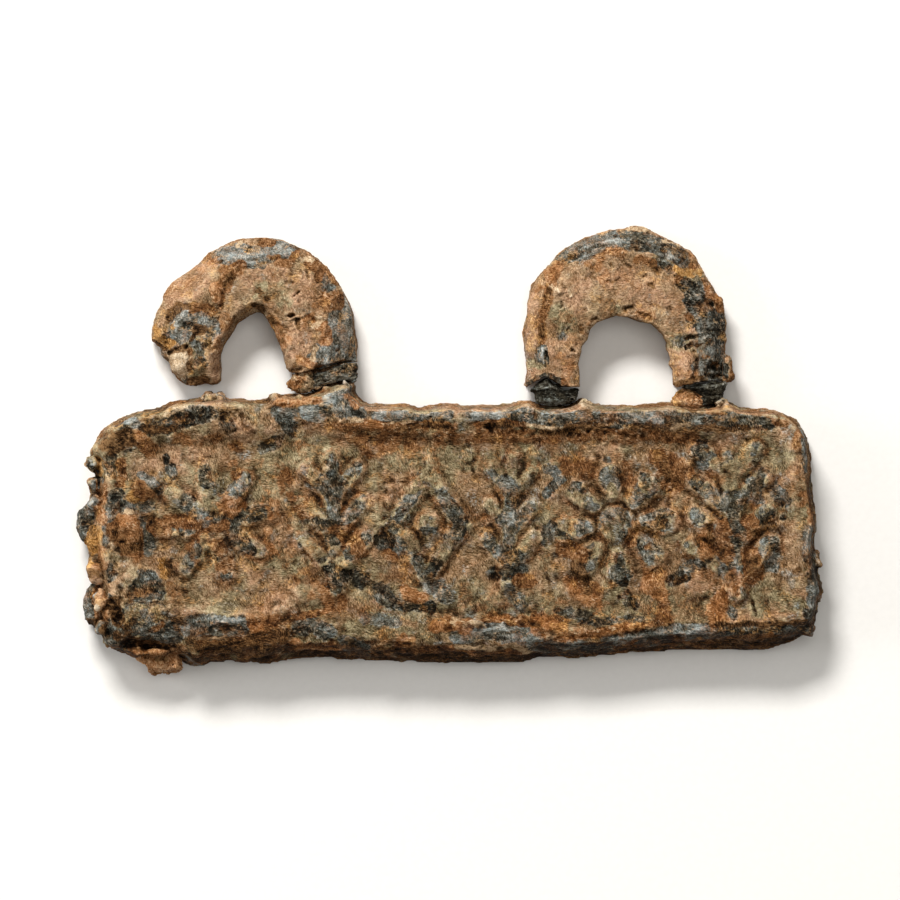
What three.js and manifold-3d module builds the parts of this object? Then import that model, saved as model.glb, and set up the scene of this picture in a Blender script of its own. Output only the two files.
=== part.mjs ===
// Lead amulet: a small cast tablet with two suspension loops along its upper edge.
// It lies on its flat back, face up. +X runs to the right along the tablet, +Y towards the loops,
// +Z out of the face. Millimetres. The origin is at the middle of the footprint, on the flat back.
import * as THREE from 'three';
import { mergeVertices } from 'three/addons/utils/BufferGeometryUtils.js';
import Module from 'manifold-3d';

// ---------------------------------------------------------------- driving dimensions
const GRID_MM = 0.0671;            // size of one outline unit; the tablet is about 745 units long
const GRID_CENTRE = [449.55, 449.2]; // middle of the footprint in outline units
const RIM_TOP = 4.4;               // border ridge above the flat back
const PANEL_FLOOR = 3.55;          // sunk panel above the flat back
const FIGURE_TOP = 4.15;           // raised figures in the panel
const FIGURE_LEAN = 0.22;          // how much a figure's wall leans in from foot to top
const LOOP_FRONT = 3.4;            // front face of the loops
const LOOP_BEVEL = 0.62;           // width of the bevel round a loop's front face
const LOOP_BEVEL_DEPTH = 0.85;
const FOOT_FRONT = 3.1;            // front face of the cracked feet
const FOOT_BEVEL = 0.16;
const CRUST_GAP = 0.06;            // parting between a crust and what carries it
const FLANK = { left: 20, right: 11, top: 9, bottom: 21 }; // lean of the tablet's four sides, outline units

// Outline units run right and down; the model runs right and up.
const X = (u) => (u - GRID_CENTRE[0]) * GRID_MM;
const Y = (v) => (GRID_CENTRE[1] - v) * GRID_MM;

// ---------------------------------------------------------------- outlines
const TABLET = [
  [92, 462], [89, 451], [94, 441], [101, 432], [109, 424.5], [119, 417.5], [131, 412.5], [144, 409],
  [159, 407], [170, 402.5], [190, 398.6], [206, 397.6], [222, 397.4], [243, 398.2], [260, 399.2], [268, 397.2],
  [274, 393.6], [292, 393.4], [303, 394.2], [315, 390.4], [327, 386.2], [340, 381.4], [354.6, 382.6], [355.8, 389.5],
  [360, 397], [368, 402.6], [388, 403.6], [408, 403.8], [420, 406], [436, 404.4], [450, 402.8], [470, 404.6],
  [491, 404.4], [510, 403], [520, 399.6], [530, 399.4], [540, 403.8], [556, 405.2], [570, 404], [580, 398.8],
  [588, 401], [602, 404.4], [627, 404.6], [645, 403.4], [662, 401.8], [671, 402.2], [684, 404.8], [700, 405],
  [718, 403.2], [725, 397.6], [731, 402.4], [740, 406.4], [757, 408], [773, 409.8], [786, 413.8], [797.5, 421.4],
  [806, 433.6], [811, 448], [813, 472], [815, 499], [817.8, 522], [816, 548], [820, 570], [824.5, 592],
  [821, 604], [818.4, 619], [812, 630.6], [800, 639], [786, 644.6], [768, 649.6], [742, 650.6], [710, 650.2],
  [674, 651.2], [645, 653], [615, 655.6], [585, 658], [556, 659.6], [530, 661.6], [500, 663.2], [470, 663.4],
  [440, 663.4], [408, 661.2], [376, 661.2], [344, 659.8], [318, 658.2], [294, 660], [270, 664], [246, 663.4],
  [224, 663], [202, 666.8], [188, 665.4], [170, 657], [150, 653.4], [132, 652.6], [117, 652.2], [106, 644],
  [98, 634], [95.4, 620], [94, 604], [96, 588], [92.6, 572], [88, 554], [84.6, 536], [87, 518],
  [93, 500], [95.6, 484],
];

const PANEL_MOUTH = [
  [122, 452], [130, 436], [146, 428.5], [180, 425.5], [240, 424.5], [300, 424], [370, 424], [440, 423],
  [510, 424], [590, 425], [670, 427], [740, 428.5], [770, 433], [784, 445], [790, 470], [793, 520],
  [796, 570], [797, 600], [788, 613], [760, 619], [700, 621.5], [630, 624], [560, 628], [500, 629.5],
  [430, 629], [360, 627.5], [300, 626], [245, 622], [200, 610], [160, 590], [134, 570], [122, 540],
  [118, 500],
];

const LEFT_LOOP = [
  [357.4, 361.6], [357.2, 346], [353.4, 313], [342.4, 288], [334.4, 276], [319, 259], [302, 247.4], [283, 239.6],
  [255, 236.5], [232, 240.6], [209, 252.6], [193.5, 267], [179, 276.6], [166.5, 289], [161, 302], [155.4, 314],
  [151.6, 330], [152.4, 341], [159.6, 350], [167, 362.5], [171.5, 374], [184, 384.6], [197, 386.4], [212, 385],
  [220.8, 379.5], [221.4, 357], [227, 341], [237.6, 325.5], [247, 317], [258, 312.6], [266, 319], [275, 334],
  [281.5, 352], [286.8, 367], [293, 372.6], [313, 369.8], [335, 363.8],
];

const LEFT_FOOT_SLAB = [
  [311.2, 375], [313.6, 372], [335, 366.2], [357.8, 364.4], [358.4, 375], [354.6, 378.8], [339.4, 378], [323, 383.6],
  [311.6, 387.4],
];

const LEFT_FOOT_CRUMB = [
  [293.6, 376.6], [302, 374.8], [310.2, 374.2], [310.4, 387.4], [304, 390.6], [296.4, 390], [289.8, 386.2],
];

const LEG_STUMP = [
  [200.5, 396.2], [204, 392], [210.5, 391.4], [215, 393.6], [220.5, 392.6], [224.4, 396],
];

const RIGHT_LOOP = [
  [526.4, 388.6], [523.4, 384], [526, 370], [522.2, 334], [525.4, 316], [529.4, 292], [538, 276.6], [556, 255.4],
  [568, 246.2], [587, 237], [610, 229], [635, 225.5], [650, 229], [680, 243.6], [694, 255], [704, 271],
  [713, 286.6], [723.4, 301], [726.4, 318], [727.2, 336], [725.8, 352], [724.6, 380.4], [702, 382.4], [684, 384.6],
  [675.4, 386.8], [672.4, 380], [671, 364], [666.8, 347], [661.6, 333.6], [650, 323.8], [634, 318.6], [616, 315.8],
  [599, 322], [589, 333], [582, 347], [577.8, 365], [579.4, 386.8], [560.6, 385.4], [544.2, 375.6], [535.4, 381.6],
];

const RIGHT_LOOP_LEFT_FOOT = [
  [530.6, 391.8], [536.4, 384.8], [544.4, 379], [560.2, 388], [578, 389.6], [577.6, 396.6], [569.6, 402], [556, 403.2],
  [541.6, 402], [532, 397.4],
];

const RIGHT_LOOP_RIGHT_FOOT = [
  [680.6, 388.2], [702, 384.6], [724.4, 382.8], [725.4, 386], [723, 392.4], [723, 396], [716.4, 401.4], [702.4, 403.2],
  [701.6, 393], [690.6, 389.6],
];

const RIGHT_FOOT_CRUMB = [
  [673.6, 398.6], [678.6, 391], [689.6, 391], [700.2, 394.2], [700.8, 403], [685, 402.8], [676, 401.4],
];

const RIGHT_LEG_SCAB = [
  [727.2, 356.6], [731.4, 359.4], [731.8, 369], [733.4, 375.2], [730.2, 381.2], [726, 380.6], [727, 366],
];

const RUST_FLAKE = [
  [134, 655], [150, 656.4], [168, 659.6], [181.4, 665], [180.4, 670.2], [170, 672.8], [151.6, 672.6], [146.6, 664.6],
  [136, 662],
];

// ---------------------------------------------------------------- helpers
const wasm = await Module();
wasm.setup();

const toShape = (points) =>
  new THREE.Shape(points.map(([u, v]) => new THREE.Vector2(X(u), Y(v))));

function solid(geometry) {
  const bare = geometry.clone();
  for (const name of Object.keys(bare.attributes)) if (name !== 'position') bare.deleteAttribute(name);
  const merged = mergeVertices(bare, 1e-5);
  return new wasm.Manifold(
    new wasm.Mesh({
      numProp: 3,
      vertProperties: new Float32Array(merged.attributes.position.array),
      triVerts: new Uint32Array(merged.index.array),
    }),
  );
}

function toGeometry(body) {
  const mesh = body.getMesh();
  const geometry = new THREE.BufferGeometry();
  geometry.setAttribute('position', new THREE.BufferAttribute(new Float32Array(mesh.vertProperties), 3));
  geometry.setIndex(new THREE.BufferAttribute(new Uint32Array(mesh.triVerts), 1));
  geometry.computeVertexNormals();
  return geometry;
}

function slab(shape, low, high, steps = 1) {
  const g = new THREE.ExtrudeGeometry(shape, { depth: high - low, steps, bevelEnabled: false });
  g.translate(0, 0, low);
  return g;
}

// How each corner of an outline moves to draw it in by a given width, less where its edges are too short for that.
function drawIn(corners, width) {
  const n = corners.length;
  const turn = Math.sign(THREE.ShapeUtils.area(corners));
  const ways = corners.map((c, i) => {
    const a = c.clone().sub(corners[(i + n - 1) % n]).normalize();
    const b = corners[(i + 1) % n].clone().sub(c).normalize();
    const way = new THREE.Vector2(-(a.y + b.y), a.x + b.x).multiplyScalar(turn).normalize();
    const miter = Math.max(0.7, Math.sqrt((1 + a.dot(b)) / 2));
    return way.multiplyScalar(width / miter);
  });
  const share = new Array(n).fill(1);
  for (let round = 0; round < 40; round += 1) {
    for (let i = 0; i < n; i += 1) {
      const j = (i + 1) % n;
      const before = corners[j].clone().sub(corners[i]);
      const after = corners[j].clone().addScaledVector(ways[j], share[j])
        .sub(corners[i].clone().addScaledVector(ways[i], share[i]));
      if (after.dot(before) < 0.3 * before.lengthSq()) { share[i] *= 0.85; share[j] *= 0.85; }
    }
  }
  return ways.map((way, i) => way.multiplyScalar(share[i]));
}

// Straight-backed solid with a bevel round its front face.
function bevelled(points, low, high, bevel, depth) {
  const corners = points.map(([u, v]) => new THREE.Vector2(X(u), Y(v)));
  const ways = drawIn(corners, bevel);
  const levels = [[low, 0], [high - depth, 0], [high - depth * 0.3, 0.35], [high, 1]];
  const g = slab(new THREE.Shape(corners), 0, 1, levels.length - 1);
  const p = g.attributes.position;
  for (let i = 0; i < p.count; i += 1) {
    const [z, share] = levels[Math.round(p.getZ(i) * (levels.length - 1))];
    let near = 0;
    corners.forEach((c, k) => {
      if (Math.hypot(c.x - p.getX(i), c.y - p.getY(i)) < Math.hypot(corners[near].x - p.getX(i), corners[near].y - p.getY(i))) near = k;
    });
    p.setXYZ(i, p.getX(i) + ways[near].x * share, p.getY(i) + ways[near].y * share, z);
  }
  return solid(g);
}

// The tablet's blank: the full outline at the back, leaning in to the face on all four sides.
function blank(grow) {
  const left = X(75), right = X(825), top = Y(391), bottom = Y(673);
  const levels = [[0, 0.1], [0.8, 0], [2.2, 0.22], [3.3, 0.55], [4.0, 0.8], [RIM_TOP, 1]];
  const g = slab(toShape(TABLET), 0, 1, levels.length - 1);
  const p = g.attributes.position;
  const gx = (right - left + 2 * grow) / (right - left);
  const gy = (top - bottom + 2 * grow) / (top - bottom);
  for (let i = 0; i < p.count; i += 1) {
    const k = Math.round(p.getZ(i) * (levels.length - 1));
    const [z, lean] = levels[k];
    const l = FLANK.left * GRID_MM * lean, r = FLANK.right * GRID_MM * lean;
    const t = FLANK.top * GRID_MM * lean, b = FLANK.bottom * GRID_MM * lean;
    let x = left + l + ((p.getX(i) - left) * (right - left - l - r)) / (right - left);
    let y = bottom + b + ((p.getY(i) - bottom) * (top - bottom - t - b)) / (top - bottom);
    x = (left + right) / 2 + (x - (left + right) / 2) * gx;
    y = (top + bottom) / 2 + (y - (top + bottom) / 2) * gy;
    p.setXYZ(i, x, y, k === 0 ? z - grow : z + grow * (k / (levels.length - 1)));
  }
  return solid(g);
}

// The sunk panel: a wide mouth at the border's top, a smaller floor.
function panelCutter() {
  const cx = X(458), cy = Y(525), lean = 0.62;
  const g = slab(toShape(PANEL_MOUTH), PANEL_FLOOR, RIM_TOP + 0.2, 1);
  const p = g.attributes.position;
  const halfX = (X(797) - X(118)) / 2, halfY = (Y(423) - Y(629)) / 2;
  for (let i = 0; i < p.count; i += 1) {
    const t = (p.getZ(i) - PANEL_FLOOR) / (RIM_TOP + 0.2 - PANEL_FLOOR);
    const inset = lean * (1 - t);
    p.setX(i, cx + (p.getX(i) - cx) * (1 - inset / halfX));
    p.setY(i, cy + (p.getY(i) - cy) * (1 - inset / halfY));
  }
  return solid(g);
}

// One raised figure: its outline at the foot, leaning in towards its own middle at the top.
function figure(points, u, v) {
  const g = slab(new THREE.Shape(points.map(([a, b]) => new THREE.Vector2(a, b))), 0, 1, 1);
  const p = g.attributes.position;
  let reach = 0;
  for (let i = 0; i < p.count; i += 1) reach = Math.max(reach, Math.hypot(p.getX(i), p.getY(i)));
  for (let i = 0; i < p.count; i += 1) {
    const s = p.getZ(i) > 0.5 ? 1 - FIGURE_LEAN / reach : 1;
    p.setXYZ(i, X(u) + p.getX(i) * s, Y(v) + p.getY(i) * s, p.getZ(i) > 0.5 ? FIGURE_TOP : PANEL_FLOOR - 0.2);
  }
  return solid(g);
}

// A round-ended stroke from one point to another, its width changing on the way.
function stroke(x0, y0, x1, y1, w0, w1) {
  const way = Math.atan2(y1 - y0, x1 - x0);
  const points = [];
  for (let k = 0; k <= 4; k += 1) {
    const a = way + (Math.PI * (k - 2)) / 4;
    points.push([x1 + (Math.cos(a) * w1) / 2, y1 + (Math.sin(a) * w1) / 2]);
  }
  for (let k = 0; k <= 4; k += 1) {
    const a = way + Math.PI + (Math.PI * (k - 2)) / 4;
    points.push([x0 + (Math.cos(a) * w0) / 2, y0 + (Math.sin(a) * w0) / 2]);
  }
  return points;
}

// Strokes that run out from a centre.
function rays(u, v, count, from, to, w0, w1, turn) {
  const all = [];
  for (let k = 0; k < count; k += 1) {
    const a = turn + (k * Math.PI * 2) / count;
    all.push(figure(stroke(Math.cos(a) * from, Math.sin(a) * from, Math.cos(a) * to, Math.sin(a) * to, w0, w1), u, v));
  }
  return all.reduce((one, two) => one.add(two));
}

// A branch: a stem with pairs of leaves that rise from it.
function branch(u, v, low, high, pairs, foot, pitch, reach, rise, width, tilt) {
  const turned = (points) =>
    points.map(([a, b]) => [a * Math.cos(tilt) - b * Math.sin(tilt), a * Math.sin(tilt) + b * Math.cos(tilt)]);
  let body = figure(turned(stroke(0, low, 0, high, width, width * 0.85)), u, v);
  for (let k = 0; k < pairs; k += 1) {
    const out = reach * (1 - 0.1 * k);
    for (const side of [-1, 1]) {
      const leaf = stroke(0, foot + pitch * k, side * out, foot + pitch * k + out * rise, width, width * 0.82);
      body = body.add(figure(turned(leaf), u, v));
    }
  }
  return body;
}

// A rounded crust or lump: a squashed, uneven ball.
function lump(u, v, z, ru, rv, rz, seed) {
  const g = new THREE.IcosahedronGeometry(1, 2);
  const p = g.attributes.position;
  for (let i = 0; i < p.count; i += 1) {
    const x = p.getX(i), y = p.getY(i), w = p.getZ(i);
    const s = 1 + 0.07 * Math.sin(3.1 * x + seed) + 0.06 * Math.sin(4.3 * y + 2 * seed) * Math.cos(2.9 * w + seed);
    p.setXYZ(i, X(u) + x * s * ru * GRID_MM, Y(v) + y * s * rv * GRID_MM, z + w * s * rz);
  }
  return solid(g);
}

function largest(body) {
  return body.decompose().sort((a, b) => b.volume() - a.volume())[0];
}

// ---------------------------------------------------------------- pieces
const amulet = new THREE.Group();
amulet.name = 'lead_amulet';

function piece(name, body, colour, roughness, metalness) {
  const mesh = new THREE.Mesh(
    toGeometry(body),
    new THREE.MeshStandardMaterial({ color: new THREE.Color(...colour), roughness, metalness }),
  );
  mesh.name = name;
  amulet.add(mesh);
  return mesh;
}

const SOIL = [0.5, 0.36, 0.25];
const GREY_LEAD = [0.3, 0.31, 0.3];
const DARK_LEAD = [0.1, 0.1, 0.09];
const RUST = [0.42, 0.2, 0.1];
const OCHRE = [0.62, 0.42, 0.16];

// Tablet: blank, sunk panel, and a row of worn figures: star, ear, lozenge, ear, rosette and branch.
const plain = blank(0);
const clearance = blank(CRUST_GAP);
const panel = panelCutter();
let figures = rays(216, 522, 8, 0, 3.55, 1.5, 1.0, 0.2)
  .add(branch(334, 522, -4.4, 4.3, 3, -3.2, 2.55, 2.1, 1.0, 1.15, 0.03))
  .add(figure([[0, 4.3], [-3.0, 0], [0, -4.3], [3.0, 0]], 428, 524))
  .add(branch(510, 519, -4.1, 4.0, 3, -3.0, 2.4, 1.55, 1.1, 1.1, -0.04))
  .add(rays(615, 524, 8, 1.95, 3.25, 0.95, 1.7, 0.1))
  .add(branch(730, 522, -4.7, 4.3, 4, -3.7, 2.35, 2.75, 0.8, 1.25, 0.05));
const lozengeHollow = slab(
  new THREE.Shape([[0, 2.5], [-1.65, 0], [0, -2.5], [1.65, 0]].map(([a, b]) => new THREE.Vector2(X(428) + a, Y(524) + b))),
  PANEL_FLOOR + 0.1,
  FIGURE_TOP + 1,
);
figures = figures.subtract(solid(lozengeHollow));
figures = figures
  .add(figure(stroke(0, -0.12, 0, 0.12, 1.4, 1.4), 428, 524))
  .add(figure(stroke(-0.1, 0, 0.1, 0, 2.3, 2.3), 615, 524));
const tablet = plain.subtract(panel).add(figures.intersect(plain));

// The left loop's foot and the collars under the right loop stand in small seats of the tablet's upper edge.
const seats = [LEFT_FOOT_SLAB, LEFT_FOOT_CRUMB, RIGHT_LOOP_LEFT_FOOT, RIGHT_LOOP_RIGHT_FOOT, RIGHT_FOOT_CRUMB, LEG_STUMP];
let seated = tablet;
for (const outline of seats) {
  const cut = new THREE.ExtrudeGeometry(toShape(outline), {
    depth: 6, bevelEnabled: true, bevelSize: CRUST_GAP, bevelThickness: 0.2, bevelSegments: 1,
  });
  cut.translate(0, 0, -1);
  seated = seated.subtract(solid(cut));
}
seated = largest(seated);
piece('tablet', seated, SOIL, 0.9, 0.05);

// Suspension loops.
piece('left_loop', bevelled(LEFT_LOOP, 0, LOOP_FRONT, LOOP_BEVEL, LOOP_BEVEL_DEPTH), SOIL, 0.9, 0.05);
piece('right_loop', bevelled(RIGHT_LOOP, 0, LOOP_FRONT, LOOP_BEVEL, LOOP_BEVEL_DEPTH), SOIL, 0.9, 0.05);

// Cracked feet of the loops.
piece('left_loop_foot_slab', bevelled(LEFT_FOOT_SLAB, 0, FOOT_FRONT, FOOT_BEVEL, 0.3), GREY_LEAD, 0.75, 0.2);
piece('left_foot_crumb', bevelled(LEFT_FOOT_CRUMB, 0.5, FOOT_FRONT - 0.2, FOOT_BEVEL, 0.3), RUST, 0.9, 0);
piece('left_leg_stump', bevelled(LEG_STUMP, 0.4, 2.6, 0.08, 0.3), SOIL, 0.9, 0.05);
piece('right_loop_left_foot', bevelled(RIGHT_LOOP_LEFT_FOOT, 0, FOOT_FRONT, FOOT_BEVEL, 0.3), DARK_LEAD, 0.7, 0.2);
piece('right_loop_right_foot', bevelled(RIGHT_LOOP_RIGHT_FOOT, 0, FOOT_FRONT, FOOT_BEVEL, 0.3), DARK_LEAD, 0.7, 0.2);
piece('right_foot_crumb', bevelled(RIGHT_FOOT_CRUMB, 0.5, FOOT_FRONT - 0.2, FOOT_BEVEL, 0.3), RUST, 0.9, 0);
piece('right_leg_scab', bevelled(RIGHT_LEG_SCAB, 0.9, 2.7, 0.06, 0.2), SOIL, 0.9, 0);

// Crusts and lumps of lead corrosion.
const loopClearance = bevelled(
  LEFT_LOOP, 0, LOOP_FRONT + CRUST_GAP, LOOP_BEVEL, LOOP_BEVEL_DEPTH,
);
piece(
  'broken_end_crust',
  largest(lump(185, 322, LOOP_FRONT - 0.1, 13, 27, 0.42, 1.2).subtract(loopClearance)),
  GREY_LEAD, 0.7, 0.2,
);
piece('upper_edge_lump', largest(lump(86, 519, 1.9, 11.5, 17, 1.25, 0.4).subtract(clearance)), GREY_LEAD, 0.7, 0.2);
piece('lower_edge_lump', largest(lump(92, 605, 1.9, 9.5, 20, 1.3, 2.2).subtract(clearance)), GREY_LEAD, 0.7, 0.2);
piece('ochre_crust', largest(lump(97, 540, 3.55, 9.5, 15, 0.62, 3.1).subtract(clearance)), OCHRE, 0.9, 0);
piece('corner_lump', largest(lump(146, 614, 4.05, 29, 18, 0.85, 1.9).subtract(clearance)), GREY_LEAD, 0.8, 0.1);
piece('rust_flake', largest(bevelled(RUST_FLAKE, 0.5, 2.3, 0.1, 0.25).subtract(clearance)), RUST, 0.9, 0);

export default amulet;
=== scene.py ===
import math

import bpy
import numpy as np
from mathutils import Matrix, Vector


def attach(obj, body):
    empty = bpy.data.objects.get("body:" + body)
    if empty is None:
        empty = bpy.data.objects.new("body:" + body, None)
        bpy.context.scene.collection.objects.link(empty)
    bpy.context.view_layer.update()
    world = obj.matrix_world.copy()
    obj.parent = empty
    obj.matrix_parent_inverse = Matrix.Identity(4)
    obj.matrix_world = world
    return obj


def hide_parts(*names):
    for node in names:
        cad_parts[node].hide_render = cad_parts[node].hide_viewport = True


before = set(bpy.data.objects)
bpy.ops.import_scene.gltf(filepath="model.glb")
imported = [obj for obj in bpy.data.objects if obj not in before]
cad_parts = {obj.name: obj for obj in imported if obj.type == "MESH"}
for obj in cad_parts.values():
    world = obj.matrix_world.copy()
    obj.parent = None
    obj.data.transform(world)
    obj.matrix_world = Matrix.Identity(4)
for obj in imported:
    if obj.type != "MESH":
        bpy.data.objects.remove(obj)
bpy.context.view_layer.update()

# ---------------------------------------------------------------- drawing units
# Outlines are in the units that part.mjs uses: 0.0671 mm each, running right and down.
GRID = 0.0671
CU, CV = 449.55, 449.2
RIM_TOP, PANEL_FLOOR, FIGURE_TOP = 4.4, 3.55, 4.15
LOOP_FRONT, FOOT_FRONT = 3.4, 3.1


def mx(u):
    return (np.asarray(u, float) - CU) * GRID


def my(v):
    return (CV - np.asarray(v, float)) * GRID


def outline(points):
    p = np.array(points, float)
    return np.stack([mx(p[:, 0]), my(p[:, 1])], 1)


# ---------------------------------------------------------------- noise
def _hash(ix, iy, iz, seed):
    with np.errstate(over="ignore"):
        n = (
            ix.astype(np.uint32) * np.uint32(374761393)
            + iy.astype(np.uint32) * np.uint32(668265263)
            + iz.astype(np.uint32) * np.uint32(2246822519)
            + np.uint32((seed * 3266489917) & 0xFFFFFFFF)
        )
        n = (n ^ (n >> np.uint32(13))) * np.uint32(1274126177)
        n = (n ^ (n >> np.uint32(15))) * np.uint32(2654435761)
        return n ^ (n >> np.uint32(16))


def gnoise(x, y, z, seed=0):
    """Gradient noise, about -1 to 1."""
    x, y, z = (np.asarray(a, np.float32) for a in (x, y, z))
    x, y, z = np.broadcast_arrays(x, y, z)
    fx, fy, fz = np.floor(x), np.floor(y), np.floor(z)
    ix, iy, iz = fx.astype(np.int64), fy.astype(np.int64), fz.astype(np.int64)
    tx, ty, tz = x - fx, y - fy, z - fz
    ux = tx * tx * tx * (tx * (tx * 6 - 15) + 10)
    uy = ty * ty * ty * (ty * (ty * 6 - 15) + 10)
    uz = tz * tz * tz * (tz * (tz * 6 - 15) + 10)
    total = np.zeros(x.shape, np.float32)
    for dx in (0, 1):
        wx = ux if dx else 1 - ux
        for dy in (0, 1):
            wy = uy if dy else 1 - uy
            for dz in (0, 1):
                wz = uz if dz else 1 - uz
                h = _hash(ix + dx, iy + dy, iz + dz, seed)
                gx = (h & np.uint32(1023)).astype(np.float32) / 511.5 - 1
                gy = ((h >> np.uint32(10)) & np.uint32(1023)).astype(np.float32) / 511.5 - 1
                gz = ((h >> np.uint32(20)) & np.uint32(1023)).astype(np.float32) / 511.5 - 1
                total += wx * wy * wz * (gx * (tx - dx) + gy * (ty - dy) + gz * (tz - dz))
    return total * 1.45


def fbm(x, y, z, scale, octaves=3, seed=0, gain=0.5, lac=2.03):
    """Sum of gradient noises; scale is the size in mm of the largest feature."""
    f, a, total, norm = 1.0 / scale, 1.0, 0.0, 0.0
    for o in range(octaves):
        total = total + a * gnoise(x * f + 11.3 * o, y * f + 7.7 * o, z * f + 3.1 * o, seed + 17 * o)
        norm += a
        a *= gain
        f *= lac
    return total / norm


def ridged(x, y, z, scale, octaves=3, seed=0):
    f, a, total, norm = 1.0 / scale, 1.0, 0.0, 0.0
    for o in range(octaves):
        total = total + a * (1 - np.abs(gnoise(x * f + 5.1 * o, y * f, z * f, seed + 29 * o)) * 1.6)
        norm += a
        a *= 0.5
        f *= 2.07
    return total / norm


def cells(x, y, z, scale, seed=0):
    """Cellular noise: distance to the nearest and second nearest seed point, in cells, and the nearest one's hash."""
    x, y, z = (np.asarray(a, np.float32) / scale for a in (x, y, z))
    fx, fy, fz = np.floor(x), np.floor(y), np.floor(z)
    ix, iy, iz = fx.astype(np.int64), fy.astype(np.int64), fz.astype(np.int64)
    d1 = np.full(x.shape, 9.0, np.float32)
    d2 = np.full(x.shape, 9.0, np.float32)
    who = np.zeros(x.shape, np.float32)
    for dx in (-1, 0, 1):
        for dy in (-1, 0, 1):
            for dz in (-1, 0, 1):
                h = _hash(ix + dx, iy + dy, iz + dz, seed)
                px = fx + dx + (h & np.uint32(1023)).astype(np.float32) / 1023
                py = fy + dy + ((h >> np.uint32(10)) & np.uint32(1023)).astype(np.float32) / 1023
                pz = fz + dz + ((h >> np.uint32(20)) & np.uint32(1023)).astype(np.float32) / 1023
                d = np.sqrt((px - x) ** 2 + (py - y) ** 2 + (pz - z) ** 2)
                near = d < d1
                d2 = np.where(near, d1, np.minimum(d2, d))
                who = np.where(near, ((h >> np.uint32(5)) & np.uint32(255)).astype(np.float32) / 255, who)
                d1 = np.where(near, d, d1)
    return d1, d2, who


def ss(a, b, x):
    """Smooth step from 0 at a to 1 at b; a may be above b."""
    t = np.clip((x - a) / (b - a), 0, 1)
    return t * t * (3 - 2 * t)


def smin(a, b, k):
    h = np.clip(0.5 + 0.5 * (b - a) / k, 0, 1)
    return b * (1 - h) + a * h - k * h * (1 - h)


def smax(a, b, k):
    return -smin(-a, -b, k)


# ---------------------------------------------------------------- flat distances
def segments(x, y, pts, closed=True):
    """Distance from (x, y) to a polyline, and whether each point is inside it where it is closed."""
    a = pts
    b = np.roll(pts, -1, 0) if closed else pts[1:]
    a = a if closed else pts[:-1]
    best = np.full(x.shape, 1e9)
    inside = np.zeros(x.shape, bool)
    for (ax, ay), (bx, by) in zip(a, b):
        ex, ey = bx - ax, by - ay
        l2 = max(ex * ex + ey * ey, 1e-12)
        t = np.clip(((x - ax) * ex + (y - ay) * ey) / l2, 0, 1)
        best = np.minimum(best, (x - ax - t * ex) ** 2 + (y - ay - t * ey) ** 2)
        if closed:
            crosses = (ay > y) != (by > y)
            inside ^= crosses & (x < ex * (y - ay) / (ey if abs(ey) > 1e-12 else 1e-12) + ax)
    return np.sqrt(best), inside


def inside_distance(x, y, pts):
    """Positive inside a closed outline."""
    d, inn = segments(x, y, pts)
    return np.where(inn, d, -d)


def smooth_outline(pts, rounds=2, keep=0.5):
    """Corner-cutting subdivision that stays close to the measured points."""
    p = np.array(pts, float)
    for _ in range(rounds):
        n = np.roll(p, -1, 0)
        b = np.roll(p, 1, 0)
        nn = np.roll(p, -2, 0)
        mid = (p + n) * 0.5 * (1 + 0.125) - (b + nn) * 0.0625
        out = np.empty((len(p) * 2, 2))
        out[0::2] = p
        out[1::2] = mid
        p = out
    return p


# ---------------------------------------------------------------- surface of a field
def surface(field, origin, h):
    """Quads round field > 0, by surface nets. Returns vertices and faces."""
    inside = field > 0
    nx, ny, nz = field.shape
    corner = [(0, 0, 0), (1, 0, 0), (0, 1, 0), (1, 1, 0), (0, 0, 1), (1, 0, 1), (0, 1, 1), (1, 1, 1)]
    count = np.zeros((nx - 1, ny - 1, nz - 1), np.int8)
    for dx, dy, dz in corner:
        count += inside[dx : nx - 1 + dx, dy : ny - 1 + dy, dz : nz - 1 + dz]
    active = (count > 0) & (count < 8)
    ci, cj, ck = np.nonzero(active)
    index = np.full(active.shape, -1, np.int64)
    index[ci, cj, ck] = np.arange(len(ci))
    values = [field[ci + dx, cj + dy, ck + dz].astype(np.float64) for dx, dy, dz in corner]
    pos = np.zeros((len(ci), 3))
    hits = np.zeros(len(ci))
    edges = [(0, 1), (2, 3), (4, 5), (6, 7), (0, 2), (1, 3), (4, 6), (5, 7), (0, 4), (1, 5), (2, 6), (3, 7)]
    for a, b in edges:
        fa, fb = values[a], values[b]
        change = (fa > 0) != (fb > 0)
        t = np.where(change, fa / np.where(change, fa - fb, 1), 0)
        for axis in range(3):
            step = corner[a][axis] + t * (corner[b][axis] - corner[a][axis])
            pos[:, axis] += np.where(change, step, 0)
        hits += change
    pos /= hits[:, None]
    verts = (pos + np.stack([ci, cj, ck], 1)) * h + np.array(origin)
    faces = []
    for axis in range(3):
        o1, o2 = [(1, 2), (2, 0), (0, 1)][axis]
        a = [slice(1, -1)] * 3
        b = [slice(1, -1)] * 3
        a[axis] = slice(0, -1)
        b[axis] = slice(1, None)
        fa, fb = inside[tuple(a)], inside[tuple(b)]
        change = np.nonzero(fa != fb)
        base = [c.copy() for c in change]
        base[o1] += 1
        base[o2] += 1
        quad = []
        for s1, s2 in ((1, 1), (0, 1), (0, 0), (1, 0)):
            c = [v.copy() for v in base]
            c[o1] -= s1
            c[o2] -= s2
            quad.append(index[c[0], c[1], c[2]])
        quad = np.stack(quad, 1)
        turned = ~fa[change]
        quad[turned] = quad[turned][:, ::-1]
        faces.append(quad)
    return verts, np.concatenate(faces)


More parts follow.
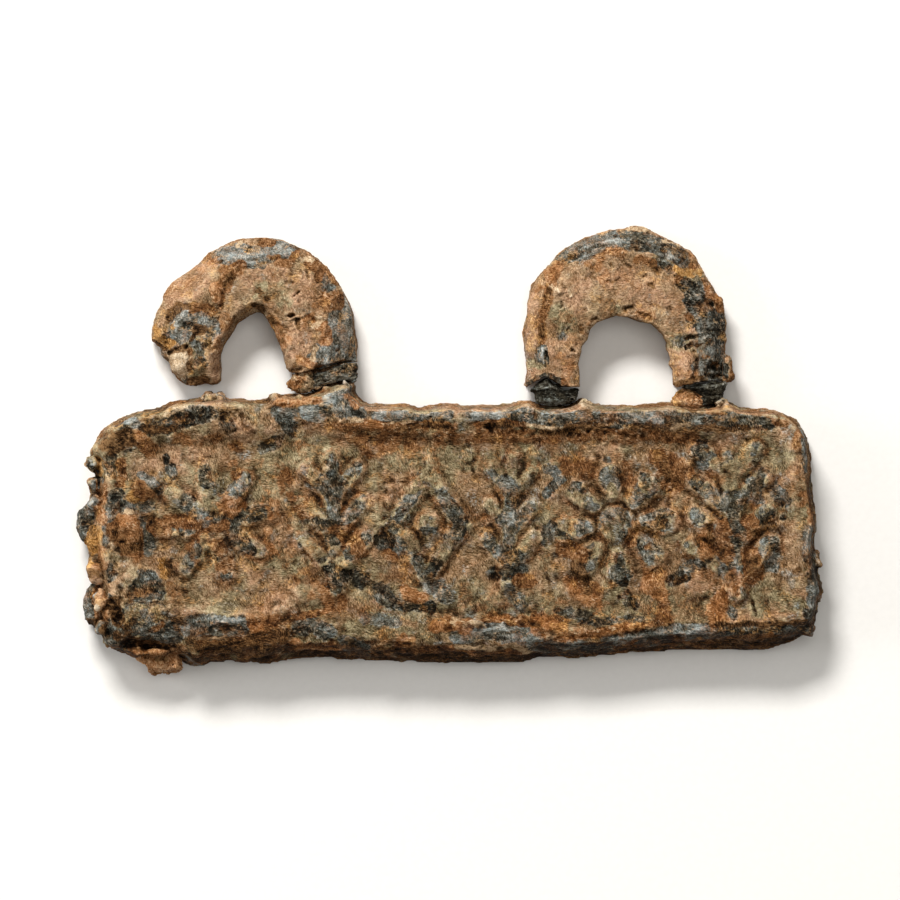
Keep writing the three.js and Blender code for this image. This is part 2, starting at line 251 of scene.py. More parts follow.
def biggest_part(verts, faces, least=0):
    """Keeps the largest connected part, or all with at least that many vertices."""
    label = np.arange(len(verts))
    while True:
        low = label[faces].min(1)
        new = label.copy()
        for k in range(faces.shape[1]):
            np.minimum.at(new, faces[:, k], low)
        new = new[new]
        if (new == label).all():
            break
        label = new
    names, counts = np.unique(label, return_counts=True)
    keep = names[counts >= least] if least else names[[counts.argmax()]]
    good = np.isin(label, keep)
    renum = np.cumsum(good) - 1
    faces = faces[good[faces].all(1)]
    return verts[good], renum[faces]


def without_clumps(verts, faces):
    """Drops small clumps that hang on the rest only by a point or by an edge that four faces share."""
    ends = np.sort(np.stack([faces, np.roll(faces, -1, axis=1)], axis=2).reshape(-1, 2), axis=1).astype(np.int64)
    key = ends[:, 0] * len(verts) + ends[:, 1]
    order = np.argsort(key, kind="stable")
    key = key[order]
    starts = np.nonzero(np.append(True, key[1:] != key[:-1]))[0]
    pair = starts[np.diff(np.append(starts, len(key))) == 2]
    a, b = order[pair] // 4, order[pair + 1] // 4
    label = np.arange(len(faces))
    while True:
        low = np.minimum(label[a], label[b])
        new = label.copy()
        np.minimum.at(new, a, low)
        np.minimum.at(new, b, low)
        new = new[new]
        if (new == label).all():
            break
        label = new
    names, counts = np.unique(label, return_counts=True)
    faces = faces[label == names[counts.argmax()]]
    used = np.unique(faces)
    renum = np.zeros(len(verts), dtype=np.int64)
    renum[used] = np.arange(len(used))
    return verts[used], renum[faces]


def normals(verts, faces):
    a, b, c, d = (verts[faces[:, k]] for k in range(4))
    n = np.cross(c - a, d - b)
    out = np.zeros_like(verts)
    for k in range(4):
        for axis in range(3):
            out[:, axis] += np.bincount(faces[:, k], n[:, axis], len(verts))
    return out / np.maximum(np.linalg.norm(out, axis=1, keepdims=True), 1e-12)


def smooth(values, faces, rounds=1, share=0.5):
    """Averages per-vertex values with their neighbours round each face."""
    n = len(values)
    flat = values if values.ndim == 2 else values[:, None]
    for _ in range(rounds):
        total = np.zeros_like(flat)
        count = np.zeros(n)
        for k in range(4):
            j = (k + 1) % 4
            for a, b in ((faces[:, k], faces[:, j]), (faces[:, j], faces[:, k])):
                for axis in range(flat.shape[1]):
                    total[:, axis] += np.bincount(a, flat[b, axis], n)
                count += np.bincount(a, minlength=n)
        flat = flat * (1 - share) + share * total / np.maximum(count, 1)[:, None]
    return flat if values.ndim == 2 else flat[:, 0]


# ---------------------------------------------------------------- outlines
TABLET = [
    [92, 462], [89, 451], [93, 443], [100, 432.5], [108, 425], [117, 418.6], [130, 412.6], [144, 409],
    [159, 407], [169, 401.8], [191, 398.2], [206, 397.6], [222, 397.0], [243, 398.6], [260, 399.4], [268, 397.2],
    [272, 393.6], [292, 393.6], [303, 394.2], [315, 390.4], [327, 386.2], [340, 381.4], [354.6, 382.6], [355.8, 389.5],
    [360, 397], [368, 402.8], [388, 403.6], [408, 403.6], [418, 406.4], [436, 404.2], [450, 402.6], [461, 404.6],
    [475, 404], [491, 404.6], [510, 403], [520, 399.6], [530, 399.4], [540, 403.8], [556, 405.2], [570, 404],
    [580, 398.8], [588, 401], [602, 404.4], [627, 404.6], [645, 403.4], [662, 401.8], [671, 402.2], [684, 404.8],
    [700, 405], [718, 403.2], [725, 397.6], [731, 402.4], [740, 406.4], [757, 408], [773, 409.6], [786, 413.6],
    [797.5, 421], [806.4, 434], [811.2, 448], [812.6, 472], [814.5, 499], [818.2, 522], [816.4, 536], [815.5, 549],
    [818, 561], [821, 577], [824.5, 592], [820.6, 601], [819, 612], [817, 622], [811.6, 631], [806, 635],
    [798, 640], [788, 644.2], [778, 647.4], [768, 649.8], [755, 650.8], [742, 650.4], [725, 650], [705, 650.4],
    [690, 651], [674, 651.2], [660, 652.2], [645, 653], [630, 653.4], [615, 655.4], [600, 656.8], [585, 658.4],
    [571, 659.6], [556, 657.6], [541, 657.6], [530, 661.2], [516, 663.6], [500, 663.2], [484, 663.2], [470, 663.4],
    [457, 664], [440, 663.2], [424, 663.4], [408, 661.6], [392, 661], [376, 661.4], [360, 660.4], [344, 660],
    [330, 658.6], [314, 658], [300, 659], [290, 660], [281, 662], [270, 664.4], [260, 665], [251, 662.4],
    [240, 664], [229, 661.4], [218, 664], [209, 663.6], [202, 667], [192, 667.4], [184, 664], [170, 657],
    [150, 653.4], [132, 652.8], [124, 654.2], [116, 652.6], [106, 644], [99, 635], [95.4, 622], [94, 604],
    [96, 588], [92.6, 572], [88, 554], [84.6, 536], [87, 518], [93, 500], [95.6, 484],
]
PANEL_MOUTH = [
    [122, 452], [130, 436], [146, 428.5], [180, 425.5], [240, 424.5], [300, 424], [370, 424], [440, 423],
    [510, 424], [590, 425], [670, 427], [740, 428.5], [770, 433], [784, 445], [790, 470], [793, 520],
    [796, 570], [797, 600], [788, 613], [760, 619], [700, 621.5], [630, 624], [560, 628], [500, 629.5],
    [430, 629], [360, 627.5], [300, 626], [245, 622], [200, 610], [160, 590], [134, 570], [122, 540],
    [118, 500],
]
LEFT_LOOP_OUT = [
    [357.4, 361.6], [356.8, 351], [357.4, 345], [355.4, 328], [353.4, 313], [348.4, 300], [342.4, 288], [334.4, 276],
    [327, 266.4], [318, 257.8], [307, 250.6], [295, 244.6], [283, 239.8], [270, 237.6], [255, 236.7], [243, 238.6],
    [232, 240.8], [220, 246.4], [209, 252.8], [201.4, 259.6], [193.5, 266.8], [186, 271.4], [179, 276.6], [171, 283.6],
    [166, 288.6], [162.6, 294], [161.4, 302], [157.6, 308.6], [155.4, 314], [153, 322], [151.6, 330], [151.8, 340],
    [155.6, 343.6], [159.4, 347.4], [160.8, 355], [164.6, 359.6], [168.4, 364], [170.4, 372.6], [177.6, 378.6], [184.8, 385],
    [195, 386.2], [206, 383.8], [211, 385.2], [217.6, 384], [221, 380.4],
]
LEFT_LOOP_IN = [
    [221.4, 369], [221.6, 354], [223.8, 346], [230.4, 335.4], [237.6, 325.2], [242.6, 320], [249, 315.6], [256, 312.6],
    [260, 312.8], [263.6, 315.4], [267.6, 320.8], [271.4, 327.2], [274.8, 333.6], [277.6, 340.4], [282, 354], [286.4, 367.6],
    [290, 371.6], [293, 373],
]
LEFT_LOOP_END = [[303, 372.2], [313, 369.8], [324, 366.6], [335, 363.8], [346, 362.6]]
RIGHT_LOOP_OUT = [
    [526.6, 388.2], [523.8, 385.4], [525, 378.6], [526.2, 372], [525, 358], [523.4, 344], [522, 332], [523.6, 325],
    [525.4, 318], [527.6, 304], [529.6, 291.4], [532.6, 284.4], [538.4, 276.2], [547.6, 265], [557, 254.6], [565, 247.8],
    [575, 242.2], [585, 237.6], [597, 233], [609, 228.9], [621, 228.3], [631.5, 226], [639, 225.6], [647, 227.8],
    [663, 235.4], [680, 243.6], [690, 250.6], [695.4, 256], [703.6, 270.4], [711.7, 285], [717.6, 293], [723.2, 300],
    [725.2, 306], [725.8, 315], [728.2, 323], [726.6, 332], [727.4, 340], [725.8, 346], [726, 354], [725.4, 366],
    [724.4, 380.2],
]
RIGHT_LOOP_END2 = [[714, 381.4], [702, 382.6], [693, 383.4], [684, 384.8]]
RIGHT_LOOP_IN = [
    [676, 387.2], [672.8, 384.6], [672.4, 377], [672.2, 369], [668.9, 364.8], [670.2, 359.6], [668.6, 354.6], [666.6, 349.6],
    [666.2, 343], [662.4, 335.2], [657, 329], [651, 323.8], [641, 322], [634, 319.4], [628, 316.8], [616, 315.7],
    [606.6, 319], [597, 322.8], [593, 326.8], [589.6, 331.2], [587.4, 339], [581.6, 347.2], [579.4, 356], [577.6, 365],
    [579.2, 376.4], [579.3, 386.8],
]
RIGHT_LOOP_END1 = [[570, 387.4], [560.6, 386.2], [552, 380.6], [544.2, 376], [540, 379.4], [535.4, 382]]
LEFT_FOOT_SLAB = [
    [311.0, 375.6], [313.6, 371.8], [324, 369], [335, 366], [346, 364.8], [357.8, 364.2], [358.8, 370], [358.4, 375.6],
    [354.8, 379.4], [347, 378.2], [339.4, 378.4], [331, 380.6], [323, 383.8], [311.4, 388.2],
]
LEFT_FOOT_CRUMB = [
    [293.4, 376.2], [297, 374.6], [302, 374.8], [309.8, 373.4], [310.4, 387.6], [304, 391], [296.4, 390.4], [289.6, 386.4],
    [291.4, 382],
]
LEG_STUMP = [[200, 398], [203.4, 392.4], [206.6, 391.2], [210.8, 391.4], [214.8, 394.2], [218, 392.6], [221, 392.4], [225.2, 397.4]]
RIGHT_LOOP_LEFT_FOOT = [
    [529.8, 392.4], [533, 387.6], [536.8, 384.6], [540.8, 381.4], [544.6, 378.8], [552, 383.6], [560.2, 388.6], [569, 390.2],
    [578.2, 389.4], [578.6, 393], [577.8, 397], [574.6, 400], [569.6, 402.4], [556, 403.6], [541.6, 402.4], [532, 398],
]
RIGHT_LOOP_RIGHT_FOOT = [
    [680.2, 388.2], [691, 385.8], [702, 384.4], [713, 383.2], [725, 382.6], [726, 385], [724.6, 388.6], [723, 392.4],
    [723.4, 396], [720.4, 399], [716.4, 401.8], [702.2, 403.6], [701.4, 393], [690.6, 389.4],
]
RIGHT_FOOT_CRUMB = [[673.2, 398.8], [676, 394.6], [678.8, 390.8], [689.8, 390.8], [700.4, 394], [701, 403.2], [685, 403.2], [676, 401.8]]
RIGHT_LEG_SCAB = [[726.4, 355.6], [731, 358.8], [731.2, 364], [731.6, 369], [733.4, 375.2], [730.4, 381], [726, 380.4], [725.4, 366]]
RUST_FLAKE = [
    [132, 652], [136, 660], [139.4, 662.6], [146.8, 662.2], [147.2, 669.2], [151.4, 672.6], [157, 672.8], [168, 672.4],
    [178, 671.6], [180.6, 669.6], [182, 663.6], [176, 655], [160, 648], [144, 646],
]


# ---------------------------------------------------------------- raised figures of the sunk panel
def stroke(x, y, x0, y0, x1, y1, w0, w1):
    """How far inside a round-ended stroke each point lies."""
    ex, ey = x1 - x0, y1 - y0
    t = np.clip(((x - x0) * ex + (y - y0) * ey) / max(ex * ex + ey * ey, 1e-9), 0, 1)
    return (w0 + (w1 - w0) * t) / 2 - np.hypot(x - x0 - t * ex, y - y0 - t * ey)


def rays(x, y, count, start, end, w0, w1, turn):
    d = np.full(x.shape, -9.0)
    for k in range(count):
        c, s = math.cos(turn + k * 2 * math.pi / count), math.sin(turn + k * 2 * math.pi / count)
        d = smax(d, stroke(x, y, c * start, s * start, c * end, s * end, w0, w1), 0.15)
    return d


def branch(x, y, low, high, pairs, foot, pitch, reach, rise, width, tilt):
    c, s = math.cos(tilt), math.sin(tilt)
    x, y = x * c + y * s, y * c - x * s
    d = stroke(x, y, 0, low, 0, high, width, width * 0.85)
    for k in range(pairs):
        out = reach * (1 - 0.1 * k)
        for side in (-1, 1):
            d = smax(d, stroke(x, y, 0, foot + pitch * k, side * out, foot + pitch * k + out * rise, width, width * 0.82), 0.18)
    return d


def rhombus(x, y, a, b):
    return (1 - np.abs(x) / a - np.abs(y) / b) * a * b / math.hypot(a, b)


FIGURES = [
    (216, 522, lambda x, y: rays(x, y, 8, 0, 3.55, 1.5, 1.0, 0.2)),
    (334, 522, lambda x, y: branch(x, y, -4.4, 4.3, 3, -3.2, 2.55, 2.1, 1.0, 1.15, 0.03)),
    (428, 524, lambda x, y: np.maximum(np.minimum(rhombus(x, y, 3.0, 4.3), -rhombus(x, y, 1.65, 2.5)), 0.72 - np.hypot(x, y))),
    (510, 519, lambda x, y: branch(x, y, -4.1, 4.0, 3, -3.0, 2.4, 1.55, 1.1, 1.1, -0.04)),
    (615, 524, lambda x, y: np.maximum(rays(x, y, 8, 1.95, 3.25, 0.95, 1.7, 0.1), 1.18 - np.hypot(x, y))),
    (730, 522, lambda x, y: branch(x, y, -4.7, 4.3, 4, -3.7, 2.35, 2.75, 0.8, 1.25, 0.05)),
]


def figures(x, y):
    """How far inside a raised figure each point lies, in mm; negative outside all of them."""
    best = np.full(x.shape, -9.0)
    for u, v, shape in FIGURES:
        cx, cy = mx(u), my(v)
        near = (np.abs(x - cx) < 6.5) & (np.abs(y - cy) < 6.5)
        best[near] = np.maximum(best[near], shape(x[near] - cx, y[near] - cy))
    return best


# ---------------------------------------------------------------- lumps, pits, troughs and ridges of the surface
# Height in mm, half width in outline units, and the line it follows. Round ones have a single point.
RELIEF = [
    # left end of the tablet: a broken, crusted border with a trough inside it
    (0.22, 7, [(103, 452), (101, 480), (104, 510), (103, 545), (107, 575), (112, 596)]),
    (-0.24, 6, [(122, 470), (119, 500), (121, 530), (120, 560), (124, 582)]),
    (-0.30, 8, [(128, 436), (142, 425), (165, 420), (200, 417), (240, 416)]),
    (0.16, 6, [(118, 432), (132, 416), (152, 410), (176, 405), (205, 403)]),
    (-0.62, 5.2, [(113, 601), (116, 609), (120, 619)]), (-0.40, 5, [(128, 600), (122, 592)]),
    (0.34, 14, [(131, 527)]), (0.20, 10, [(150, 489), (168, 480)]), (0.18, 9, [(128, 490)]),
    (-0.16, 8, [(156, 520), (160, 545)]), (0.16, 12, [(150, 572)]), (-0.22, 6, [(134, 588), (150, 592), (168, 598)]),
    (0.22, 7, [(170, 437)]), (0.12, 8, [(190, 552)]), (-0.12, 14, [(200, 450)]),
    (0.26, 9, [(232, 509)]), (0.16, 8, [(262, 560)]),
    # upper border and the neck of the left loop
    (0.20, 6, [(268, 398), (290, 397), (312, 397)]), (-0.25, 3, [(262, 408), (276, 405), (300, 404), (318, 400)]),
    (-0.20, 5, [(248, 424), (252, 432)]), (0.22, 8, [(300, 412), (318, 416)]), (-0.18, 5, [(285, 425), (330, 424), (352, 420)]),
    (0.20, 10, [(345, 398), (348, 412)]), (-0.15, 5, [(368, 412), (372, 420)]), (0.12, 7, [(385, 411), (420, 413), (448, 411)]),
    (-0.22, 4, [(440, 424), (470, 426), (490, 424)]), (0.12, 4, [(480, 416), (520, 418), (545, 419)]),
    (-0.20, 4, [(490, 428), (540, 431), (590, 432), (640, 434)]), (0.14, 4, [(552, 416), (600, 418), (660, 419), (700, 421)]),
    (-0.10, 5, [(640, 436), (700, 438), (745, 440)]), (-0.35, 2.2, [(779, 411), (777, 425)]),
    (0.20, 5, [(396, 428), (420, 432), (445, 436)]), (0.15, 6, [(350, 440), (372, 446)]),
    # lower border: two ridges with a trough between them, and a crest above the flank
    (0.20, 6, [(178, 622), (215, 622)]), (0.24, 5, [(225, 618), (262, 612), (292, 609)]), (-0.20, 4, [(220, 628), (260, 624), (300, 620)]),
    (0.30, 7, [(292, 624), (314, 623), (345, 631), (372, 637)]), (-0.30, 5, [(300, 634), (324, 640), (350, 646)]),
    (0.16, 5, [(235, 636), (270, 640), (296, 644)]), (0.14, 6, [(398, 640), (430, 637), (455, 632)]),
    (0.22, 6, [(438, 619), (462, 622), (482, 618)]), (0.20, 6, [(455, 637), (490, 633), (520, 630), (548, 634)]),
    (-0.22, 4, [(448, 628), (480, 626), (505, 623), (530, 621)]), (0.26, 5, [(545, 627), (580, 630), (615, 627), (650, 621)]),
    (-0.26, 4, [(560, 638), (600, 637), (640, 633), (680, 627)]), (0.16, 6, [(600, 646), (640, 642), (680, 638)]),
    (0.20, 7, [(690, 632), (712, 633), (735, 626)]), (-0.22, 4, [(455, 647), (490, 645), (530, 648), (560, 651)]),
    (0.16, 3, [(450, 651), (490, 650), (534, 653)]), (-0.18, 5, [(736, 640), (770, 636), (800, 628)]),
    # right end
    (0.16, 8, [(806, 545), (810, 575), (812, 600)]), (-0.14, 6, [(800, 470), (802, 500), (803, 530)]),
    (0.16, 7, [(768, 498), (776, 520)]), (-0.12, 7, [(783, 540), (786, 575)]), (-0.25, 2, [(754, 612), (752, 600)]),
    # middle of the panel, between the figures
    (0.14, 9, [(272, 470), (280, 500)]), (-0.12, 9, [(285, 530), (290, 565)]), (0.18, 8, [(300, 590), (330, 596)]),
    (0.24, 9, [(405, 600), (440, 596), (462, 604)]), (-0.18, 7, [(372, 588), (386, 600)]), (-0.14, 10, [(388, 470), (384, 500)]),
    (0.16, 8, [(476, 588), (500, 598)]), (-0.16, 9, [(468, 450), (474, 475)]), (0.14, 8, [(545, 470), (552, 492)]),
    (0.14, 8, [(560, 590), (590, 600)]), (-0.15, 8, [(556, 560), (548, 590)]), (0.18, 9, [(660, 582), (672, 600)]),
    (-0.20, 5, [(672, 580), (686, 575)]), (-0.14, 9, [(672, 470), (668, 500)]), (0.12, 9, [(690, 455), (676, 470)]),
    (0.20, 8, [(712, 606), (722, 592)]), (-0.10, 12, [(640, 450), (600, 452)]),
]


# The loops' fronts, in the same form.
LEFT_RELIEF = [
    # bare metal folds of the crown
    (0.12, 3.5, [(224, 257), (244, 257), (264, 254), (288, 252)]), (-0.08, 2.0, [(222, 250), (246, 248), (262, 249)]),
    (-0.12, 2.4, [(226, 265), (240, 264), (250, 267)]), (-0.11, 2, [(264, 258), (280, 257), (292, 257)]), (0.16, 4, [(238, 245)]), (0.18, 5, [(267, 241)]),
    (-0.17, 1.6, [(220, 261), (224, 264)]),
    # orange lump and the hollows round it
    (0.30, 6, [(216, 290), (218, 299)]), (-0.15, 2.4, [(223, 286), (225, 298), (222, 309)]), (-0.12, 5, [(230, 280), (227, 290)]), (0.12, 5, [(225, 274)]),
    # broken end
    (-0.22, 3, [(170, 322), (172, 314), (178, 308), (188, 306)]), (0.26, 4, [(187, 311), (186, 318)]), (0.26, 8, [(184, 334), (186, 340)]), (0.12, 7, [(200, 322), (208, 324)]),
    (-0.22, 3.6, [(200, 331), (205, 331)]), (-0.21, 1.6, [(193, 343), (197, 335), (197, 327)]), (-0.46, 2.2, [(171, 353), (179, 350), (187, 348)]),
    (-0.22, 1.3, [(152, 341), (160, 345), (166, 350)]), (0.30, 7, [(179, 358), (178, 368)]), (-0.21, 2.0, [(190, 352), (191, 368), (186, 375)]),
    (-0.20, 3.4, [(174, 375), (188, 380), (204, 382)]), (0.16, 5, [(200, 368)]), (-0.15, 2.4, [(206, 346), (212, 350)]), (0.14, 5, [(160, 335)]), (-0.14, 3, [(166, 330), (166, 344)]),
    # inner side of the crown: folds, and pits in the leg
    (0.14, 6, [(262, 297)]), (-0.25, 3.2, [(255, 306), (262, 311)]), (-0.12, 2.4, [(250, 299), (258, 291), (270, 300)]), (0.14, 5, [(272, 305)]),
    (-0.31, 1.9, [(288, 315), (294, 315)]), (-0.34, 2.0, [(298, 319), (299, 327)]), (-0.17, 1.6, [(292, 322), (298, 319), (308, 316)]), (-0.21, 1.6, [(295, 297), (302, 293)]),
    (-0.20, 1.8, [(308, 273), (308, 279)]), (-0.15, 1.6, [(300, 303)]), (-0.17, 2.4, [(276, 325), (286, 329)]), (-0.14, 1.8, [(294, 283), (286, 284)]),
    (-0.15, 2, [(312, 320), (326, 321)]), (0.16, 7, [(320, 330)]), (-0.12, 3, [(303, 344), (303, 358)]), (0.12, 8, [(292, 342)]), (-0.11, 3, [(294, 352), (290, 360)]),
    (-0.18, 1.6, [(322, 277), (318, 284)]), (0.12, 5, [(325, 283)]),
    # plates of metal on the leg
    (0.20, 8, [(328, 348), (324, 360)]), (-0.15, 1.6, [(317, 346), (318, 360)]), (-0.15, 2, [(332, 316), (337, 334), (337, 350)]), (0.12, 5, [(349, 320), (350, 350)]),
    (0.24, 7, [(334, 303)]), (-0.14, 2.4, [(344, 296), (346, 308)]), (-0.28, 1.5, [(310, 373), (323, 370), (334, 366), (346, 361)]), (-0.25, 1.6, [(289, 372), (302, 370)]),
    (0.14, 5, [(304, 364), (312, 366)]),
]
RIGHT_RELIEF = [
    (0.12, 3.5, [(570, 253), (600, 243), (632, 237)]), (-0.11, 2, [(562, 261), (590, 256), (606, 252), (640, 250)]), (-0.11, 2, [(572, 257), (582, 252)]),
    (-0.20, 3.4, [(560, 262), (553, 276), (548, 292), (544, 318), (541, 342)]), (0.14, 5, [(543, 268), (534, 292), (530, 322), (530, 352)]),
    (0.20, 4, [(553, 286), (558, 291)]), (0.10, 8, [(562, 322)]), (0.28, 4, [(541, 350), (538, 359)]), (-0.22, 1.5, [(546, 352), (546, 365)]),
    (-0.12, 3, [(548, 376), (556, 382)]), (-0.34, 2.8, [(625, 309), (631, 307)]), (-0.22, 2, [(591, 321), (595, 320)]), (-0.18, 2.4, [(637, 314), (650, 318)]),
    (-0.18, 1.6, [(570, 350), (573, 352)]), (-0.12, 2, [(585, 310)]), (-0.14, 1.6, [(612, 266)]), (-0.12, 1.6, [(586, 278), (594, 274)]), (-0.15, 1.8, [(626, 264), (634, 268)]),
    (-0.12, 1.5, [(607, 282), (618, 280)]), (-0.11, 2, [(562, 284), (568, 292)]), (0.10, 9, [(590, 290)]), (0.10, 9, [(640, 290)]), (-0.21, 2, [(643, 278)]), (-0.15, 2, [(651, 286)]),
    (-0.11, 1.5, [(650, 306), (672, 309)]), (-0.09, 1.6, [(600, 300), (612, 297)]), (0.08, 9, [(560, 362)]), (-0.11, 1.6, [(563, 330), (568, 328)]),
    # bare and broken right side
    (0.16, 4, [(654, 236), (676, 246), (692, 258), (706, 284)]), (-0.20, 2.6, [(634, 247), (650, 251), (660, 257)]), (0.26, 6, [(668, 250), (678, 256)]),
    (-0.15, 2, [(660, 246), (664, 256), (676, 264)]), (-0.15, 2.4, [(656, 262), (668, 268)]), (-0.22, 3, [(678, 279), (682, 284)]), (-0.24, 4.5, [(688, 286), (692, 291)]),
    (0.16, 5, [(701, 292)]), (-0.22, 3, [(690, 304), (704, 304), (716, 306)]), (0.24, 5, [(710, 292), (718, 302)]), (-0.21, 3.4, [(690, 318), (696, 314)]),
    (-0.21, 1.2, [(684, 338), (694, 336), (707, 334)]), (-0.22, 1.2, [(685, 348), (692, 344), (703, 345)]), (-0.14, 1.4, [(700, 328), (716, 332), (724, 336)]),
    (0.14, 5, [(688, 330)]), (0.12, 6, [(716, 328)]), (-0.12, 2, [(698, 352), (706, 350)]), (0.18, 6, [(716, 348)]), (0.22, 3.6, [(704, 358), (709, 360)]),
    (-0.34, 3.8, [(710, 365), (724, 369)]), (-0.22, 1.8, [(708, 376), (722, 377)]), (0.12, 6, [(684, 360), (684, 372)]), (-0.17, 2, [(694, 352), (695, 366), (692, 378)]),
    (0.16, 4, [(700, 366), (700, 374)]), (-0.12, 1.6, [(705, 310), (712, 322)]),
]


def relief(X, Y, table=RELIEF):
    """Height added to a front at each point."""
    wx = X + 0.30 * fbm(X, Y, 1.7, 1.6, 3, 911) + 0.13 * fbm(X, Y, 2.7, 0.5, 2, 913)
    wy = Y + 0.30 * fbm(X, Y, 6.1, 1.6, 3, 917) + 0.13 * fbm(X, Y, 7.7, 0.5, 2, 919)
    out = np.zeros(X.shape)
    uneven = np.clip(1 + 0.75 * fbm(X, Y, 3.0, 0.9, 4, 921, 0.6), 0.1, 2.0)
    broken = np.clip(0.55 + 1.3 * fbm(X, Y, 4.0, 0.42, 4, 923, 0.6), 0.0, 1.5)
    for height, half, line in table:
        pts = outline(line)
        reach = half * GRID
        near = (
            (wx > pts[:, 0].min() - 2.2 * reach) & (wx < pts[:, 0].max() + 2.2 * reach)
            & (wy > pts[:, 1].min() - 2.2 * reach) & (wy < pts[:, 1].max() + 2.2 * reach)
        )
        if not near.any():
            continue
        if len(pts) == 1:
            d = np.hypot(wx[near] - pts[0, 0], wy[near] - pts[0, 1])
        else:
            d, _ = segments(wx[near], wy[near], pts, closed=False)
        shape = 1 - ss(0.15, 1.7, d / reach)
        out[near] += height * shape * (uneven if height > 0 else broken)[near]
    return out


# Crust lumps on the tablet: middle in outline units, height, and half sizes (units, units, mm).
CRUST = [
    (93, 464, 2.3, 7.5, 8, 1.4), (95, 486, 2.2, 5, 10, 1.5), (96, 503, 3.3, 8, 8, 0.9), (97, 572, 3.2, 8, 12, 0.9),
    (97, 556, 1.7, 9, 14, 1.5), (101, 600, 3.6, 8, 12, 0.7), (103, 627, 2.7, 9, 9, 1.3), (116, 640, 2.5, 12, 9, 1.5),
    (134, 650, 2.2, 12, 7, 1.4), (160, 652, 2.6, 14, 6, 1.2), (102, 447, 3.3, 8, 8, 0.9), (114, 432, 3.0, 9, 8, 1.1),
    (209, 397, 1.8, 6, 6, 1.1), (220, 398, 1.9, 5, 5, 1.0), (276, 399, 2.4, 8, 5, 1.2), (300, 400, 2.5, 12, 5, 1.2),
    (818, 592, 1.8, 6, 10, 1.3), (815, 560, 2.0, 5, 10, 1.4), (812, 520, 2.4, 5, 14, 1.2), (806, 628, 2.2, 10, 8, 1.3),
    (346, 388, 2.3, 8, 7, 0.9), (332, 392, 2.5, 9, 6, 0.9), (719, 402, 2.2, 8, 5, 0.8), (584, 404, 2.2, 9, 5, 0.8),
]


# ---------------------------------------------------------------- fields of the pieces
def lattice(low, high, h):
    n = [int(math.ceil((b - a) / h)) + 1 for a, b in zip(low, high)]
    x, y, z = (low[k] + np.arange(n[k]) * h for k in range(3))
    return x[:, None, None], y[None, :, None], z[None, None, :]


def blur(a, rounds):
    for _ in range(rounds):
        b = np.pad(a, 1, mode="edge")
        a = (b[:-2, 1:-1] + b[2:, 1:-1] + b[1:-1, :-2] + b[1:-1, 2:] + 2 * a) / 6
    return a


def roughen(field, x, y, z, reach, parts):
    """Adds 3D noise to a field only near its surface. parts is [(scale, octaves, amount, seed)]."""
    near = np.abs(field) < reach
    i, j, k = np.nonzero(near)
    px, py, pz = x[i, 0, 0], y[0, j, 0], z[0, 0, k]
    add = np.zeros(len(i), np.float32)
    for scale, octaves, amount, seed in parts:
        add += amount * fbm(px, py, pz, scale, octaves, seed)
    field[i, j, k] += add
    return field


